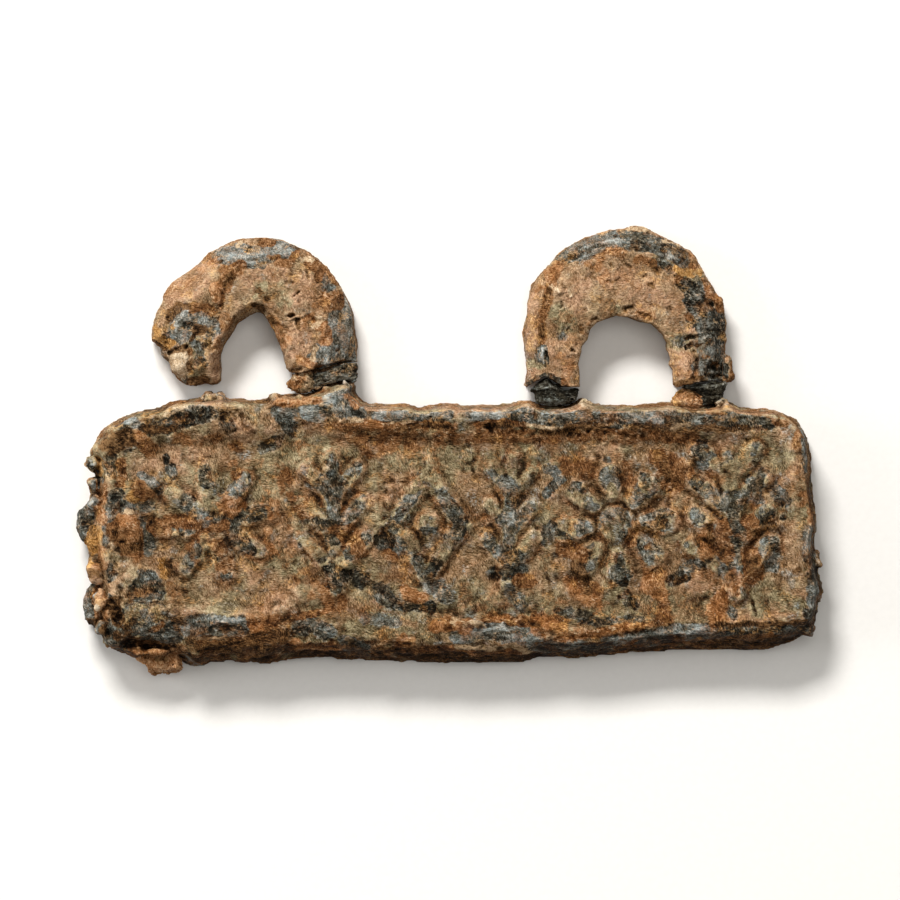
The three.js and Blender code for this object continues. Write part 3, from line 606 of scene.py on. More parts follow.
def tablet_field(h):
    low, high = (mx(68), my(679), -0.5), (mx(830), my(375), 5.2)
    x, y, z = lattice(low, high, h)
    X, Y = np.broadcast_arrays(x[:, :, 0], y[:, :, 0])
    d = inside_distance(X, Y, smooth_outline(outline(TABLET), 1))
    gx, gy = np.gradient(blur(d, 6), h)
    size = np.maximum(np.hypot(gx, gy), 1e-6)
    gx, gy = gx / size, gy / size
    flank = (
        1.5 * np.clip(gx, 0, 1) ** 2 + 0.78 * np.clip(-gx, 0, 1) ** 2
        + 1.6 * np.clip(gy, 0, 1) ** 2 + 0.62 * np.clip(-gy, 0, 1) ** 2
    )
    flank = blur(flank, 10) * (1 + 0.22 * fbm(X, Y, 0, 3.2, 2, 5))
    below = blur(np.clip(gy, 0, 1) ** 2, 10)  # the long edge below the panel: ragged, with ledges along it
    rag = 0.30 * fbm(X, Y, 0, 1.5, 4, 11, 0.6) * below
    t = np.clip((d + rag * ss(0.15, 0.8, d)) / flank, 0, 1)
    ledge = 0.30 * fbm(X * 0.55, Y * 1.5, 0, 1.0, 3, 13, 0.6) * below * ss(0.05, 0.4, d)
    # outside the outline the wall keeps falling, so the surface is upright at the back edge
    side = np.where(d > 0, 0.95 + (RIM_TOP - 0.95) * np.sin(t * math.pi / 2) ** 0.85 + ledge, 0.95 + d * 30)

    wx = X + 0.16 * fbm(X, Y, 3.3, 2.6, 2, 31)
    wy = Y + 0.16 * fbm(X, Y, 7.9, 2.6, 2, 37)
    mouth = inside_distance(wx, wy, smooth_outline(outline(PANEL_MOUTH), 2))
    rim = RIM_TOP - 0.02 + 0.10 * fbm(X, Y, 1.1, 4.5, 2, 41) + 0.06 * fbm(X, Y, 2.2, 1.3, 2, 43)
    rim = rim - 0.22 * ss(mx(150), mx(105), X)
    floor = PANEL_FLOOR + 0.12 * fbm(X, Y, 0, 5.0, 2, 47) + 0.07 * fbm(X, Y, 0, 1.7, 3, 53)
    floor = floor + 0.20 * ss(mx(190), mx(125), X)
    width = 1.55 + 0.9 * ss(mx(200), mx(120), X) + 0.35 * fbm(X, Y, 0, 2.2, 3, 57)
    top = rim - (rim - floor) * ss(-0.22, 1, mouth / width)

    fig = figures(wx + 0.10 * fbm(X, Y, 5, 1.1, 3, 59), wy + 0.10 * fbm(X, Y, 9, 1.1, 3, 61))
    fig = fig + 0.24 * fbm(X, Y, 2, 1.5, 3, 63)
    worn = 0.74 + 0.70 * fbm(X, Y, 0, 2.2, 4, 67, 0.6)
    figure_height = np.clip(worn, 0.12, 1.15) * 0.60 * ss(-0.50, 0.34, fig)
    top = smax(top, floor + figure_height, 0.14)
    top = top + relief(X, Y)

    flat = smin(side, top, 0.34)
    body = smin((flat[:, :, None] - z) * 0.8, z - 0.02, 0.12)
    for u, v, zc, ru, rv, rz in CRUST:
        cx, cy, a, b = mx(u), my(v), ru * GRID, rv * GRID
        i = (x[:, 0, 0] > cx - a - 0.8) & (x[:, 0, 0] < cx + a + 0.8)
        j = (y[0, :, 0] > cy - b - 0.8) & (y[0, :, 0] < cy + b + 0.8)
        bx, by = x[i], y[:, j]
        warp = 0.24 * gnoise(bx * 1.5 + 0 * by, by * 1.5 + 0 * bx, 0 * bx * by + 0.1, int(u + v))
        blob = (1 - np.sqrt(((bx + warp - cx) / a) ** 2 + ((by - warp - cy) / b) ** 2 + ((z - zc) / rz) ** 2)) * min(a, b, rz)
        spot = np.ix_(i, j, np.ones(body.shape[2], bool))
        body[spot] = smax(body[spot], blob, 0.42)
    body = roughen(body, x, y, z, 1.4, [(2.2, 2, 0.12, 71), (0.75, 3, 0.075, 73)])
    return body, low


def band_height(X, Y, out_line, in_line, out_width, out_drop, in_width, in_drop, front):
    """Front surface of a loop: flat, with a wide bevel outside and a narrow one inside."""
    do, _ = segments(X, Y, smooth_line(outline(out_line)), closed=False)
    di, _ = segments(X, Y, smooth_line(outline(in_line)), closed=False)
    out_width = out_width * (1 + 0.25 * fbm(X, Y, 0, 2.4, 2, 83))
    in_width = in_width * (1 + 0.3 * fbm(X, Y, 4, 1.8, 2, 89))
    drop = out_drop * (1 - np.clip(do / out_width, 0, 1)) ** 1.35 + in_drop * (1 - np.clip(di / in_width, 0, 1)) ** 1.5
    return front - drop, do, di


def smooth_line(pts):
    p = np.asarray(pts, float)
    out = []
    for i in range(len(p) - 1):
        a, b = p[max(i - 1, 0)], p[min(i + 2, len(p) - 1)]
        out += [p[i], (p[i] + p[i + 1]) * 0.5625 - (a + b) * 0.0625]
    return np.array(out + [p[-1]])


def loop_field(out_line, in_line, ends, h, seed, table, front=LOOP_FRONT, inner=0.70):
    ring = outline(out_line + in_line if not ends else ends)
    lo, hi = ring.min(0) - 0.5, ring.max(0) + 0.5
    low, high = (lo[0], lo[1], -0.5), (hi[0], hi[1], 4.4)
    x, y, z = lattice(low, high, h)
    X, Y = np.broadcast_arrays(x[:, :, 0], y[:, :, 0])
    d = inside_distance(X, Y, ring)
    top, do, di = band_height(X, Y, out_line, in_line, 1.75, 1.45, 0.70, inner, front)
    top = top + 0.10 * fbm(X, Y, 0, 3.0, 2, seed) + 0.05 * fbm(X, Y, 0, 0.9, 2, seed + 3) + relief(X, Y, table)
    body = smin(smin((top[:, :, None] - z) * 0.85, d[:, :, None] + 0 * z, 0.16), z - 0.02, 0.14)
    body = roughen(body, x, y, z, 1.2, [(1.9, 2, 0.06, seed + 7), (0.6, 2, 0.035, seed + 9)])
    return body, low


def slab_field(points, low_z, high_z, h, seed, strata=0.0, edge=0.10, rough=0.05, grow=0.0, lean=0.0, table=()):
    """A slab with an upright wall; strata is how far the leaves of corroded lead in it stand out, in mm."""
    ring = outline(points)
    lo, hi = ring.min(0) - 0.7, ring.max(0) + 0.7
    low, high = (lo[0], lo[1], low_z - 0.5), (hi[0], hi[1], high_z + 0.7)
    x, y, z = lattice(low, high, h)
    X, Y = np.broadcast_arrays(x[:, :, 0], y[:, :, 0])
    d = inside_distance(X, Y, smooth_outline(ring, 1)) + grow
    top = high_z + 0.20 * fbm(X, Y, 0, 1.2, 4, seed, 0.6) + relief(X, Y, table)
    top = top - 0.35 * (1 - np.clip(d / 0.45, 0, 1)) ** 1.6
    d = d[:, :, None] + 0 * z
    if strata:
        # leaves lying along X, each standing out by its own amount, with open joints between them
        q = (Y + lean * X + 0.34 * fbm(X, Y, 0, 1.2, 4, seed + 2, 0.6)) * 3.3
        leaf = np.floor(q)
        joint = 1 - ss(0.02, 0.30, np.minimum(q - leaf, 1 - q + leaf))
        joint = joint * ss(-0.25, 0.25, gnoise(X * 1.5, leaf * 1.7, 0 * X + 4.4, seed + 3))
        out = gnoise(X * 1.1, leaf * 3.37, 0 * X, seed + 1)
        top = top + strata * (1.2 * out - 1.2 * joint)
        d = d + (strata * (0.9 * out - 0.7 * joint))[:, :, None]
    body = smin(smin(top[:, :, None] - z, d, edge), z - low_z, edge)
    body = roughen(body, x, y, z, 0.8, [(0.7, 3, rough * 1.6, seed + 5)])
    return body, low


def join_fields(parts, h):
    """Puts several fields of one piece on one lattice."""
    lows = np.array([low for _, low in parts], float)
    highs = np.array([np.array(low) + (np.array(f.shape) - 1) * h for f, low in parts])
    low = lows.min(0)
    shape = np.ceil((highs.max(0) - low) / h).astype(int) + 2
    out = np.full(shape, -1.0)
    grid = [low[k] + np.arange(shape[k]) * h for k in range(3)]
    for f, start in parts:
        t = [np.clip((grid[k] - start[k]) / h, 0, f.shape[k] - 1.001) for k in range(3)]
        i = [a.astype(int) for a in t]
        w = [a - b for a, b in zip(t, i)]
        total = 0
        for dx in (0, 1):
            for dy in (0, 1):
                for dz in (0, 1):
                    part = f[np.ix_(i[0] + dx, i[1] + dy, i[2] + dz)]
                    share = (w[0] if dx else 1 - w[0])[:, None, None] * (w[1] if dy else 1 - w[1])[None, :, None] * (w[2] if dz else 1 - w[2])[None, None, :]
                    total = total + part * share
        out = np.maximum(out, total)
    return out, low


def lump_field(u, v, zc, ru, rv, rz, h, seed, rough=0.16):
    cx, cy = mx(u), my(v)
    a, b = ru * GRID, rv * GRID
    pad = 0.5
    low, high = (cx - a - pad, cy - b - pad, zc - rz - pad), (cx + a + pad, cy + b + pad, zc + rz + pad)
    x, y, z = lattice(low, high, h)
    r = np.sqrt(((x - cx) / a) ** 2 + ((y - cy) / b) ** 2 + ((z - zc) / rz) ** 2)
    body = (1 - r) * min(a, b, rz)
    body = roughen(body, x, y, z, 0.7, [(1.1, 4, rough * 1.5, seed)])
    return body, low


# ---------------------------------------------------------------- pieces as meshes
def to_object(name, verts, faces, masks, material):
    me = bpy.data.meshes.new(name)
    me.vertices.add(len(verts))
    me.vertices.foreach_set("co", (verts * 0.001).astype(np.float32).ravel())
    me.loops.add(faces.size)
    me.loops.foreach_set("vertex_index", faces.astype(np.int32).ravel())
    me.polygons.add(len(faces))
    me.polygons.foreach_set("loop_start", np.arange(0, faces.size, 4, dtype=np.int32))
    me.polygons.foreach_set("loop_total", np.full(len(faces), 4, np.int32))
    me.update(calc_edges=True)
    me.validate()
    me.polygons.foreach_set("use_smooth", np.ones(len(me.polygons), bool))
    for key, (r, g, b) in masks.items():
        layer = me.attributes.new(key, "FLOAT_COLOR", "POINT")
        rgba = np.stack([r, g, b, np.ones_like(r)], 1).astype(np.float32)
        layer.data.foreach_set("color", rgba.ravel())
    obj = bpy.data.objects.new(name, me)
    bpy.context.scene.collection.objects.link(obj)
    me.materials.append(material)
    return obj


# ---------------------------------------------------------------- what lies on the surface
# Stains, crusts and bare patches, with some painted highlights and shade among them: kind, share covered at the middle,
# half width and line in outline units.
PATCHES = [
    # left loop, crown
    ("lead", 1.2, 8, [(222, 254), (238, 255), (256, 256), (272, 251), (288, 250)]), ("lead", 1.0, 4, [(252, 264), (262, 264)]),
    ("pale", 1.0, 6, [(226, 258), (244, 259), (262, 255)]), ("pale", 0.9, 5, [(280, 248), (290, 251)]), ("dark", 0.8, 2.2, [(247, 250), (252, 248)]),
    ("umber", 1.0, 1.8, [(221, 262)]), ("cream", 0.8, 2.0, [(241, 243), (238, 247)]), ("rust", 1.1, 4, [(262, 241), (272, 243)]),
    ("rust", 0.8, 3, [(264, 257), (280, 256)]), ("rust", 1.0, 7, [(240, 266), (230, 272), (226, 284)]), ("umber", 0.6, 4, [(232, 278), (226, 287)]),
    ("umber", 0.5, 3, [(238, 268), (234, 273)]), ("orange", 1.0, 5, [(216, 290), (219, 298)]), ("rust", 1.1, 2, [(222, 287), (224, 298), (221, 308)]),
    ("cream", 0.6, 1.6, [(214, 298)]), ("tan", 1.0, 13, [(178, 294), (196, 282), (206, 272)]), ("tan", 0.7, 12, [(240, 292), (256, 282), (280, 274)]),
    ("rust", 0.8, 4, [(168, 295), (172, 288)]), ("rust", 0.7, 3, [(204, 260), (212, 254)]),
    ("orange", 0.4, 8, [(200, 266), (214, 262)]), ("olive", 0.9, 8, [(262, 292), (280, 292), (284, 298)]),
    # broken end of the left loop
    ("rust", 1.1, 4.5, [(193, 308), (203, 308), (212, 312)]), ("umber", 0.6, 3, [(205, 311)]),
    ("umber", 0.9, 4, [(170, 319), (174, 312), (181, 307)]), ("umber", 1.1, 2.4, [(181, 306), (188, 307)]), ("ochre", 0.5, 4, [(171, 316), (173, 324)]),
    ("lead", 1.2, 4.5, [(187, 311), (186, 318)]), ("pale", 1.2, 4.5, [(187, 311), (186, 317)]),
    ("lead", 1.15, 11, [(180, 331), (190, 327), (204, 321), (208, 329)]), ("pale", 1.0, 5, [(184, 338), (188, 330)]), ("pale", 0.8, 4, [(204, 320), (210, 324)]),
    ("umber", 1.1, 4.2, [(199, 331), (204, 331)]), ("umber", 1.1, 1.5, [(193, 342), (197, 335), (197, 327)]), ("dark", 0.8, 3, [(184, 324), (192, 324)]),
    ("ochre", 0.7, 4.5, [(158, 330), (160, 341)]), ("ochre", 0.8, 4, [(168, 345), (173, 343)]), ("olive", 0.9, 5, [(168, 330), (168, 338)]),
    ("umber", 1.3, 2.4, [(171, 353), (179, 350), (187, 348)]), ("umber", 1.1, 1.2, [(153, 341), (160, 345), (166, 349)]),
    # Painted light: the tan over the cream block at about u 179, v 358 to 368 lightens a face turned from the lamps.
    ("lead", 1.0, 4, [(163, 350), (166, 357)]), ("cream", 1.4, 9, [(179, 359), (178, 368)]), ("tan", 1.3, 9, [(180, 358), (179, 368)]), ("cream", 1.0, 3, [(186, 355), (172, 358)]),
    ("rust", 1.2, 2.6, [(190, 352), (189, 367)]), ("umber", 0.9, 2.5, [(190, 363), (190, 370)]), ("olive", 1.0, 8, [(198, 346), (196, 370)]),
    ("lead", 0.8, 5, [(200, 346), (202, 362)]), ("dark", 1.0, 3, [(205, 348), (210, 345)]), ("lead", 0.9, 4, [(176, 376), (184, 379)]),
    ("ochre", 0.6, 3, [(192, 373), (188, 372)]), ("umber", 1.1, 4, [(190, 381), (206, 382)]), ("tan", 0.8, 6, [(214, 350), (214, 372)]),
    ("rust", 0.7, 3, [(217, 341), (218, 352)]), ("umber", 0.8, 2, [(236, 318)]), ("umber", 0.6, 2, [(228, 322)]),
    ("rust", 0.5, 8, [(222, 322), (232, 326)]), ("tan", 0.6, 8, [(210, 336), (216, 330)]),
    # leg of the left loop
    ("umber", 1.0, 3, [(256, 306), (262, 310)]), ("umber", 0.7, 3, [(258, 292), (268, 301)]), ("umber", 0.9, 1.8, [(290, 315), (294, 316)]),
    ("umber", 1.0, 1.8, [(298, 320), (299, 326)]), ("umber", 0.6, 1.4, [(308, 273)]), ("umber", 0.6, 1.4, [(299, 294)]),
    # Painted shade: the broad umber on the inner edge of the leg, about u 272 to 282, v 322 to 338, darkens the orange
    # crust there.
    ("umber", 0.6, 1.4, [(294, 284)]), ("umber", 0.6, 1.6, [(281, 320)]), ("umber", 0.45, 5, [(272, 322), (282, 338)]), ("orange", 0.9, 6, [(271, 322), (284, 342)]), ("rust", 0.6, 4, [(304, 325), (312, 318)]),
    ("rust", 1.1, 3, [(296, 252), (294, 259)]), ("rust", 0.7, 5, [(290, 263), (280, 264)]), ("rust", 1.1, 5.5, [(312, 264), (320, 268), (320, 276)]),
    ("rust", 0.9, 3, [(327, 270), (336, 282)]), ("cream", 0.9, 2.4, [(308, 259), (312, 262)]), ("lead", 1.1, 5, [(322, 277), (328, 286)]),
    ("rust", 1.2, 7, [(328, 303), (340, 303)]), ("umber", 0.6, 4, [(336, 304), (343, 302)]), ("rust", 0.7, 5, [(320, 296), (318, 308)]),
    ("tan", 0.8, 12, [(296, 300), (304, 290)]), ("tan", 0.9, 10, [(300, 335), (296, 352)]), 
    ("lead", 1.35, 11, [(347, 308), (346, 330), (344, 358)]), ("lead", 1.25, 7, [(338, 322), (338, 340), (336, 358)]), ("olive", 0.35, 6, [(346, 322), (352, 344)]), ("pale", 0.5, 5, [(348, 308), (352, 330)]),
    ("orange", 1.0, 5, [(318, 324), (328, 331), (325, 342)]), ("cream", 0.5, 4, [(314, 328), (320, 322)]),
    ("lead", 1.35, 12, [(330, 350), (325, 360)]), ("pale", 0.8, 7, [(325, 350), (326, 360)]), ("pale", 1.2, 2.4, [(316, 347), (316, 360)]),
    ("cream", 0.8, 2.2, [(315, 348), (314, 358)]), ("dark", 0.4, 3, [(337, 336), (338, 352)]), ("pale", 0.9, 8, [(340, 330), (336, 352)]), ("orange", 0.8, 5, [(302, 361), (314, 366)]),
    ("umber", 1.3, 1.4, [(290, 372), (301, 370)]), ("umber", 1.3, 1.3, [(312, 372), (323, 370), (334, 366), (345, 361)]),
    # right loop, crown and its bare right side
    ("lead", 1.25, 8, [(564, 257), (580, 250), (600, 243), (624, 239), (646, 241)]), ("pale", 0.9, 5, [(596, 238), (614, 237)]),
    ("pale", 0.5, 5, [(578, 246), (596, 249)]), ("dark", 1.1, 3.6, [(572, 256), (580, 252)]), ("dark", 0.9, 2.4, [(614, 236)]),
    ("dark", 1.15, 4.5, [(634, 245), (650, 248), (662, 254)]), ("rust", 1.1, 3, [(634, 229), (642, 229)]), ("cream", 0.9, 2, [(628, 229), (646, 230)]),
    ("olive", 0.8, 5, [(622, 238), (636, 236)]), ("lead", 1.2, 7, [(664, 246), (674, 253), (683, 262)]), ("dark", 1.15, 4.5, [(665, 248), (675, 251), (681, 257)]),
    ("pale", 0.9, 3, [(668, 256), (676, 259)]), ("tan", 0.9, 4, [(654, 233), (676, 244), (692, 256)]), ("cream", 0.5, 3, [(666, 240), (682, 248)]),
    ("rust", 0.7, 4, [(690, 258), (694, 266)]), ("ochre", 1.1, 3, [(675, 269), (683, 273)]), ("ochre", 0.8, 4, [(688, 272), (700, 271)]),
    ("olive", 1.0, 5, [(686, 272), (698, 276)]), ("lead", 0.8, 5, [(662, 264), (670, 268)]), ("olive", 0.8, 6, [(656, 260), (668, 268)]),
    ("rust", 1.1, 4, [(640, 260), (652, 264)]), ("dark", 0.8, 4, [(654, 262), (666, 270)]), ("umber", 0.4, 6, [(656, 268)]), ("umber", 0.8, 2.0, [(643, 278)]), ("umber", 0.8, 2, [(650, 285), (653, 288)]), ("rust", 1.2, 3, [(677, 281), (680, 277)]),
    ("dark", 1.2, 6.5, [(684, 284), (692, 289)]), ("lead", 1.1, 6, [(700, 287), (704, 297)]), ("pale", 0.8, 4, [(701, 290), (694, 297)]),
    ("dark", 1.3, 6, [(691, 300), (704, 304), (714, 306)]), ("umber", 0.5, 4, [(700, 304), (708, 303)]), ("dark", 1.3, 6, [(690, 320), (696, 314)]),
    ("orange", 0.9, 4.5, [(708, 288), (716, 297)]), ("rust", 1.0, 4.5, [(716, 298), (720, 307)]), ("rust", 0.8, 3, [(704, 280), (706, 286)]),
    ("lead", 1.35, 12, [(700, 300), (706, 316), (713, 334), (711, 354), (706, 370)]), ("dark", 0.85, 8, [(718, 322), (714, 338)]), ("pale", 0.8, 4, [(714, 350), (720, 344)]),
    ("olive", 0.8, 5, [(700, 344), (704, 352)]), ("dark", 1.15, 1.3, [(684, 338), (694, 336), (707, 334)]), ("dark", 1.2, 1.2, [(685, 348), (692, 344), (703, 345)]),
    ("dark", 0.8, 1.5, [(700, 328), (716, 332), (724, 336)]), ("olive", 0.9, 7, [(670, 340), (692, 342)]), ("lead", 0.6, 5, [(676, 342), (692, 341)]),
    ("tan", 0.8, 3.6, [(687, 332), (691, 328)]), ("orange", 0.35, 4, [(688, 332), (688, 318)]), ("dark", 1.25, 7, [(695, 298), (699, 318)]), ("rust", 1.0, 4, [(703, 357), (710, 361)]),
    ("tan", 1.0, 9, [(682, 358), (684, 372)]), ("orange", 0.7, 5, [(680, 372), (692, 374)]), ("lead", 1.2, 5, [(698, 364), (698, 375)]),
    ("dark", 0.95, 4, [(710, 364), (724, 369)]), ("umber", 0.5, 2, [(712, 364), (720, 367)]), ("pale", 0.8, 4, [(716, 342), (708, 354), (700, 366)]), ("dark", 1.2, 3, [(708, 372), (724, 377)]),
    ("pale", 0.9, 1.4, [(708, 371), (722, 372)]), ("umber", 1.2, 2, [(676, 384), (690, 379), (700, 378)]),
    # feet of the right loop
    # Painted highlight: the thin pale line on the black layer at about u 541 to 549, v 386 to 388.
    ("dark", 1.6, 8, [(535, 389), (546, 384), (559, 390)]), ("pale", 0.6, 1.6, [(541, 388), (549, 386)]),
    ("olive", 0.8, 4, [(540, 399), (560, 397)]), ("lead", 1.2, 5, [(538, 400), (552, 401), (572, 398)]), ("pale", 0.5, 2, [(540, 398), (552, 395)]), ("umber", 0.7, 1.4, [(536, 395), (556, 394), (578, 390)]),
    ("dark", 1.3, 4, [(565, 395), (577, 393)]), ("dark", 1.3, 6, [(706, 396), (718, 399)]), ("lead", 1.3, 7, [(700, 386), (718, 386), (722, 394)]),
    # right loop, left side
    ("rust", 1.1, 4, [(562, 262), (556, 272), (549, 290), (545, 305), (542, 322), (541, 340)]), ("umber", 0.8, 2.6, [(550, 291), (545, 297)]),
    ("umber", 0.6, 3, [(545, 322), (540, 336)]), ("orange", 0.9, 5, [(556, 268), (548, 276)]), ("orange", 0.6, 3.5, [(536, 290), (545, 281)]),
    ("tan", 1.0, 5, [(534, 300), (530, 330), (532, 372)]), ("cream", 0.45, 2.2, [(553, 286), (557, 291)]),
    ("cream", 0.5, 2.4, [(569, 295)]), ("olive", 1.0, 8, [(558, 315), (566, 324)]), ("lead", 0.35, 6, [(562, 334)]), ("lead", 1.2, 5, [(542, 350), (539, 358)]),
    ("pale", 1.0, 2.6, [(538, 359), (540, 352)]), ("dark", 1.1, 1.7, [(546, 353), (545, 364)]), ("olive", 0.9, 4, [(532, 362), (540, 366)]),
    ("umber", 0.6, 1.4, [(571, 351)]), ("umber", 0.45, 1.4, [(585, 309)]), ("umber", 0.6, 2, [(612, 266)]), ("umber", 0.6, 2, [(586, 277), (592, 275)]),
    ("umber", 0.5, 1.6, [(625, 264), (633, 267)]), ("umber", 0.6, 1.6, [(608, 282), (616, 281)]), ("umber", 0.7, 1.6, [(580, 326), (580, 332)]),
    ("umber", 0.75, 2.2, [(626, 308), (630, 306)]), ("umber", 0.45, 1.4, [(640, 315)]), ("rust", 0.8, 4, [(638, 314), (652, 318)]),
    ("umber", 0.7, 1.8, [(591, 321), (594, 320)]), ("orange", 0.6, 6, [(598, 266), (604, 278)]), ("rust", 0.8, 5, [(606, 250), (622, 252)]),
    ("rust", 0.5, 6, [(590, 262), (600, 256)]), ("olive", 0.9, 4, [(604, 312), (616, 310)]),
    ("tan", 0.8, 14, [(572, 300), (600, 288), (636, 288), (664, 308)]), 
    ("tan", 0.7, 9, [(556, 350), (562, 372)]), ("orange", 0.5, 8, [(564, 362), (570, 382)]), ("rust", 0.5, 4, [(584, 330), (590, 326)]),
    # tablet, upper border from left to right; the umber and rust bands at the foot of its inner wall, about v 426 to
    # 440, are rust stain with painted shadow over it
    ("olive", 1.0, 8, [(102, 440), (112, 428), (126, 420)]), ("ochre", 0.5, 4, [(112, 426), (120, 422)]), ("lead", 1.0, 5, [(124, 419), (136, 415)]),
    ("pale", 1.0, 5, [(126, 418), (134, 416)]), ("lead", 0.7, 4, [(140, 424), (134, 426)]), ("ochre", 0.4, 4, [(146, 412), (158, 412)]), ("olive", 1.2, 7, [(126, 413), (150, 407)]), ("umber", 0.35, 6, [(126, 413), (150, 407)]),
    ("ochre", 0.5, 4, [(166, 406), (180, 404)]), ("cream", 0.6, 4, [(168, 412), (186, 404)]), ("tan", 0.9, 6, [(190, 402), (214, 400), (250, 402)]),
    ("dark", 1.15, 6.5, [(150, 429), (166, 428), (180, 421), (196, 413), (206, 415)]), ("dark", 1.1, 5, [(176, 424), (196, 420)]),
    ("umber", 0.8, 3, [(146, 430), (164, 430), (178, 429)]), ("lead", 0.7, 5, [(176, 414), (196, 407)]), ("dark", 0.9, 5, [(214, 411), (226, 418), (229, 430)]),
    ("cream", 0.5, 3, [(216, 418), (219, 420)]), ("umber", 0.9, 8, [(112, 447), (128, 438)]), ("dark", 0.6, 7, [(124, 432), (132, 446)]),
    ("rust", 0.9, 7, [(142, 440), (152, 450)]), ("orange", 0.6, 4, [(138, 434), (144, 436)]), ("rust", 0.7, 5, [(176, 438), (198, 442), (220, 438)]),
    ("tan", 0.9, 4, [(268, 398), (290, 397), (312, 398)]), ("orange", 0.9, 3, [(280, 402), (300, 403)]), ("rust", 1.0, 2.6, [(276, 404), (292, 404), (306, 403)]),
    ("orange", 1.1, 3.6, [(308, 400), (319, 400)]), ("cream", 0.5, 4, [(322, 402), (330, 404)]), ("dark", 0.9, 6, [(282, 418), (290, 428)]),
    ("lead", 0.9, 5, [(278, 412), (292, 414)]), ("lead", 1.15, 6, [(306, 412), (320, 414)]), ("pale", 1.0, 5, [(306, 412), (320, 413)]),
    ("lead", 1.3, 10, [(348, 386), (338, 394), (328, 398), (346, 406)]), ("pale", 0.7, 6, [(336, 396), (346, 388)]), ("dark", 0.8, 4, [(326, 410), (332, 414)]),
    ("orange", 1.0, 4.4, [(351, 396), (358, 404)]), ("dark", 1.0, 4.5, [(356, 412), (362, 417)]), ("lead", 0.9, 5, [(348, 414), (362, 410)]),
    ("lead", 1.2, 7.5, [(378, 411), (400, 412), (420, 412), (444, 413)]), ("pale", 0.9, 5, [(382, 408), (404, 409)]), ("dark", 1.0, 4, [(408, 413), (420, 410)]),
    ("pale", 0.8, 4, [(430, 412), (440, 412)]), ("tan", 1.0, 6, [(450, 411), (458, 416)]), 
    ("rust", 1.0, 4, [(332, 426), (352, 430), (370, 426), (390, 427), (424, 425), (452, 427)]), ("umber", 0.7, 2.4, [(346, 430), (362, 432)]),
    ("cream", 0.7, 2, [(350, 419), (366, 422)]), ("orange", 0.8, 3.5, [(366, 422), (380, 426)]), ("cream", 0.6, 1.6, [(384, 424), (404, 422), (430, 425)]),
    ("umber", 1.0, 2.4, [(400, 428), (424, 426), (450, 428)]), ("rust", 0.7, 6, [(352, 436), (420, 438), (500, 438)]), ("tan", 0.9, 8, [(240, 436), (268, 434)]), ("tan", 0.9, 8, [(300, 440), (328, 436)]),
    ("lead", 1.2, 6.5, [(476, 414), (500, 415), (540, 418), (600, 418), (660, 419), (700, 420), (760, 421)]), ("pale", 0.7, 4, [(480, 413), (500, 414)]),
    ("dark", 1.15, 5, [(516, 417), (532, 418)]), ("dark", 1.15, 5.5, [(550, 420), (570, 418)]), ("pale", 0.8, 3.6, [(540, 414), (584, 415)]),
    ("dark", 1.2, 6, [(600, 421), (618, 422)]), ("lead", 1.1, 6, [(648, 418)]), ("pale", 0.9, 4, [(642, 417), (656, 418)]), ("dark", 1.1, 5, [(668, 420), (686, 420)]),
    ("dark", 1.1, 4.5, [(704, 422), (724, 424)]), ("pale", 0.9, 2.4, [(712, 422), (726, 419)]), ("olive", 1.0, 6, [(736, 418), (764, 422)]),
    ("dark", 1.0, 6, [(738, 422), (766, 424)]), ("rust", 1.1, 3, [(478, 424), (506, 421), (524, 424)]), ("umber", 1.0, 2.4, [(486, 426), (512, 425)]),
    ("cream", 0.9, 1.6, [(526, 424), (546, 427), (560, 430)]), ("umber", 1.1, 3, [(566, 428), (588, 426), (600, 427)]), ("umber", 0.6, 3, [(544, 432), (572, 434)]),
    ("umber", 1.0, 2.6, [(632, 426), (652, 428), (666, 426)]), ("cream", 0.9, 1.6, [(668, 427), (688, 424)]), ("umber", 1.0, 2.4, [(694, 428), (716, 430), (744, 429)]),
    ("rust", 0.75, 6, [(480, 434), (540, 436), (600, 436), (660, 436), (694, 436)]), ("tan", 0.8, 7, [(716, 443), (762, 441)]), ("tan", 1.0, 6, [(520, 405), (560, 404), (620, 408), (690, 404), (740, 408)]), ("olive", 1.2, 4, [(486, 408), (506, 409)]), ("umber", 0.6, 2, [(476, 406), (486, 409)]),
    ("orange", 0.7, 3, [(708, 411), (718, 415)]), ("umber", 0.6, 2, [(688, 411), (702, 414)]), ("rust", 0.7, 3, [(630, 406), (640, 408)]),
    ("ochre", 0.5, 4, [(724, 402), (732, 406)]), ("tan", 0.55, 9, [(776, 420), (790, 428), (798, 436)]), ("rust", 0.7, 5, [(768, 416), (780, 420)]),
    ("umber", 1.1, 1.3, [(776, 411), (779, 424)]), ("rust", 1.0, 4, [(797, 432), (796, 448)]), ("lead", 1.1, 5, [(804, 442), (806, 464)]), ("pale", 0.9, 3, [(806, 456)]),
    # Painted light: these tan bands, the long tan band along v 404 to 408 one line up, and the cream line along the
    # same flank among the broad areas below lighten the upper flank that faces the lamps.
    ("tan", 1.25, 4, [(526, 404), (560, 405), (604, 404)]), ("tan", 1.2, 4, [(672, 404), (722, 405)]),
    # tablet, left end
    # Painted light: these two tan strips on the left edge lighten a flank turned from the lamps.
    ("tan", 0.9, 6, [(100, 446), (98, 468)]), ("tan", 0.8, 5, [(98, 574), (99, 612)]),
    ("olive", 0.9, 6, [(98, 456), (102, 472)]), ("ochre", 0.5, 4, [(99, 460), (102, 472)]), ("lead", 1.1, 5, [(89, 464), (93, 474)]), ("cream", 0.9, 2, [(90, 469)]),
    ("dark", 0.9, 2.4, [(96, 476), (87, 462)]), ("dark", 0.9, 5, [(113, 458), (114, 474)]), ("rust", 1.1, 4, [(122, 462), (124, 474), (121, 484)]),
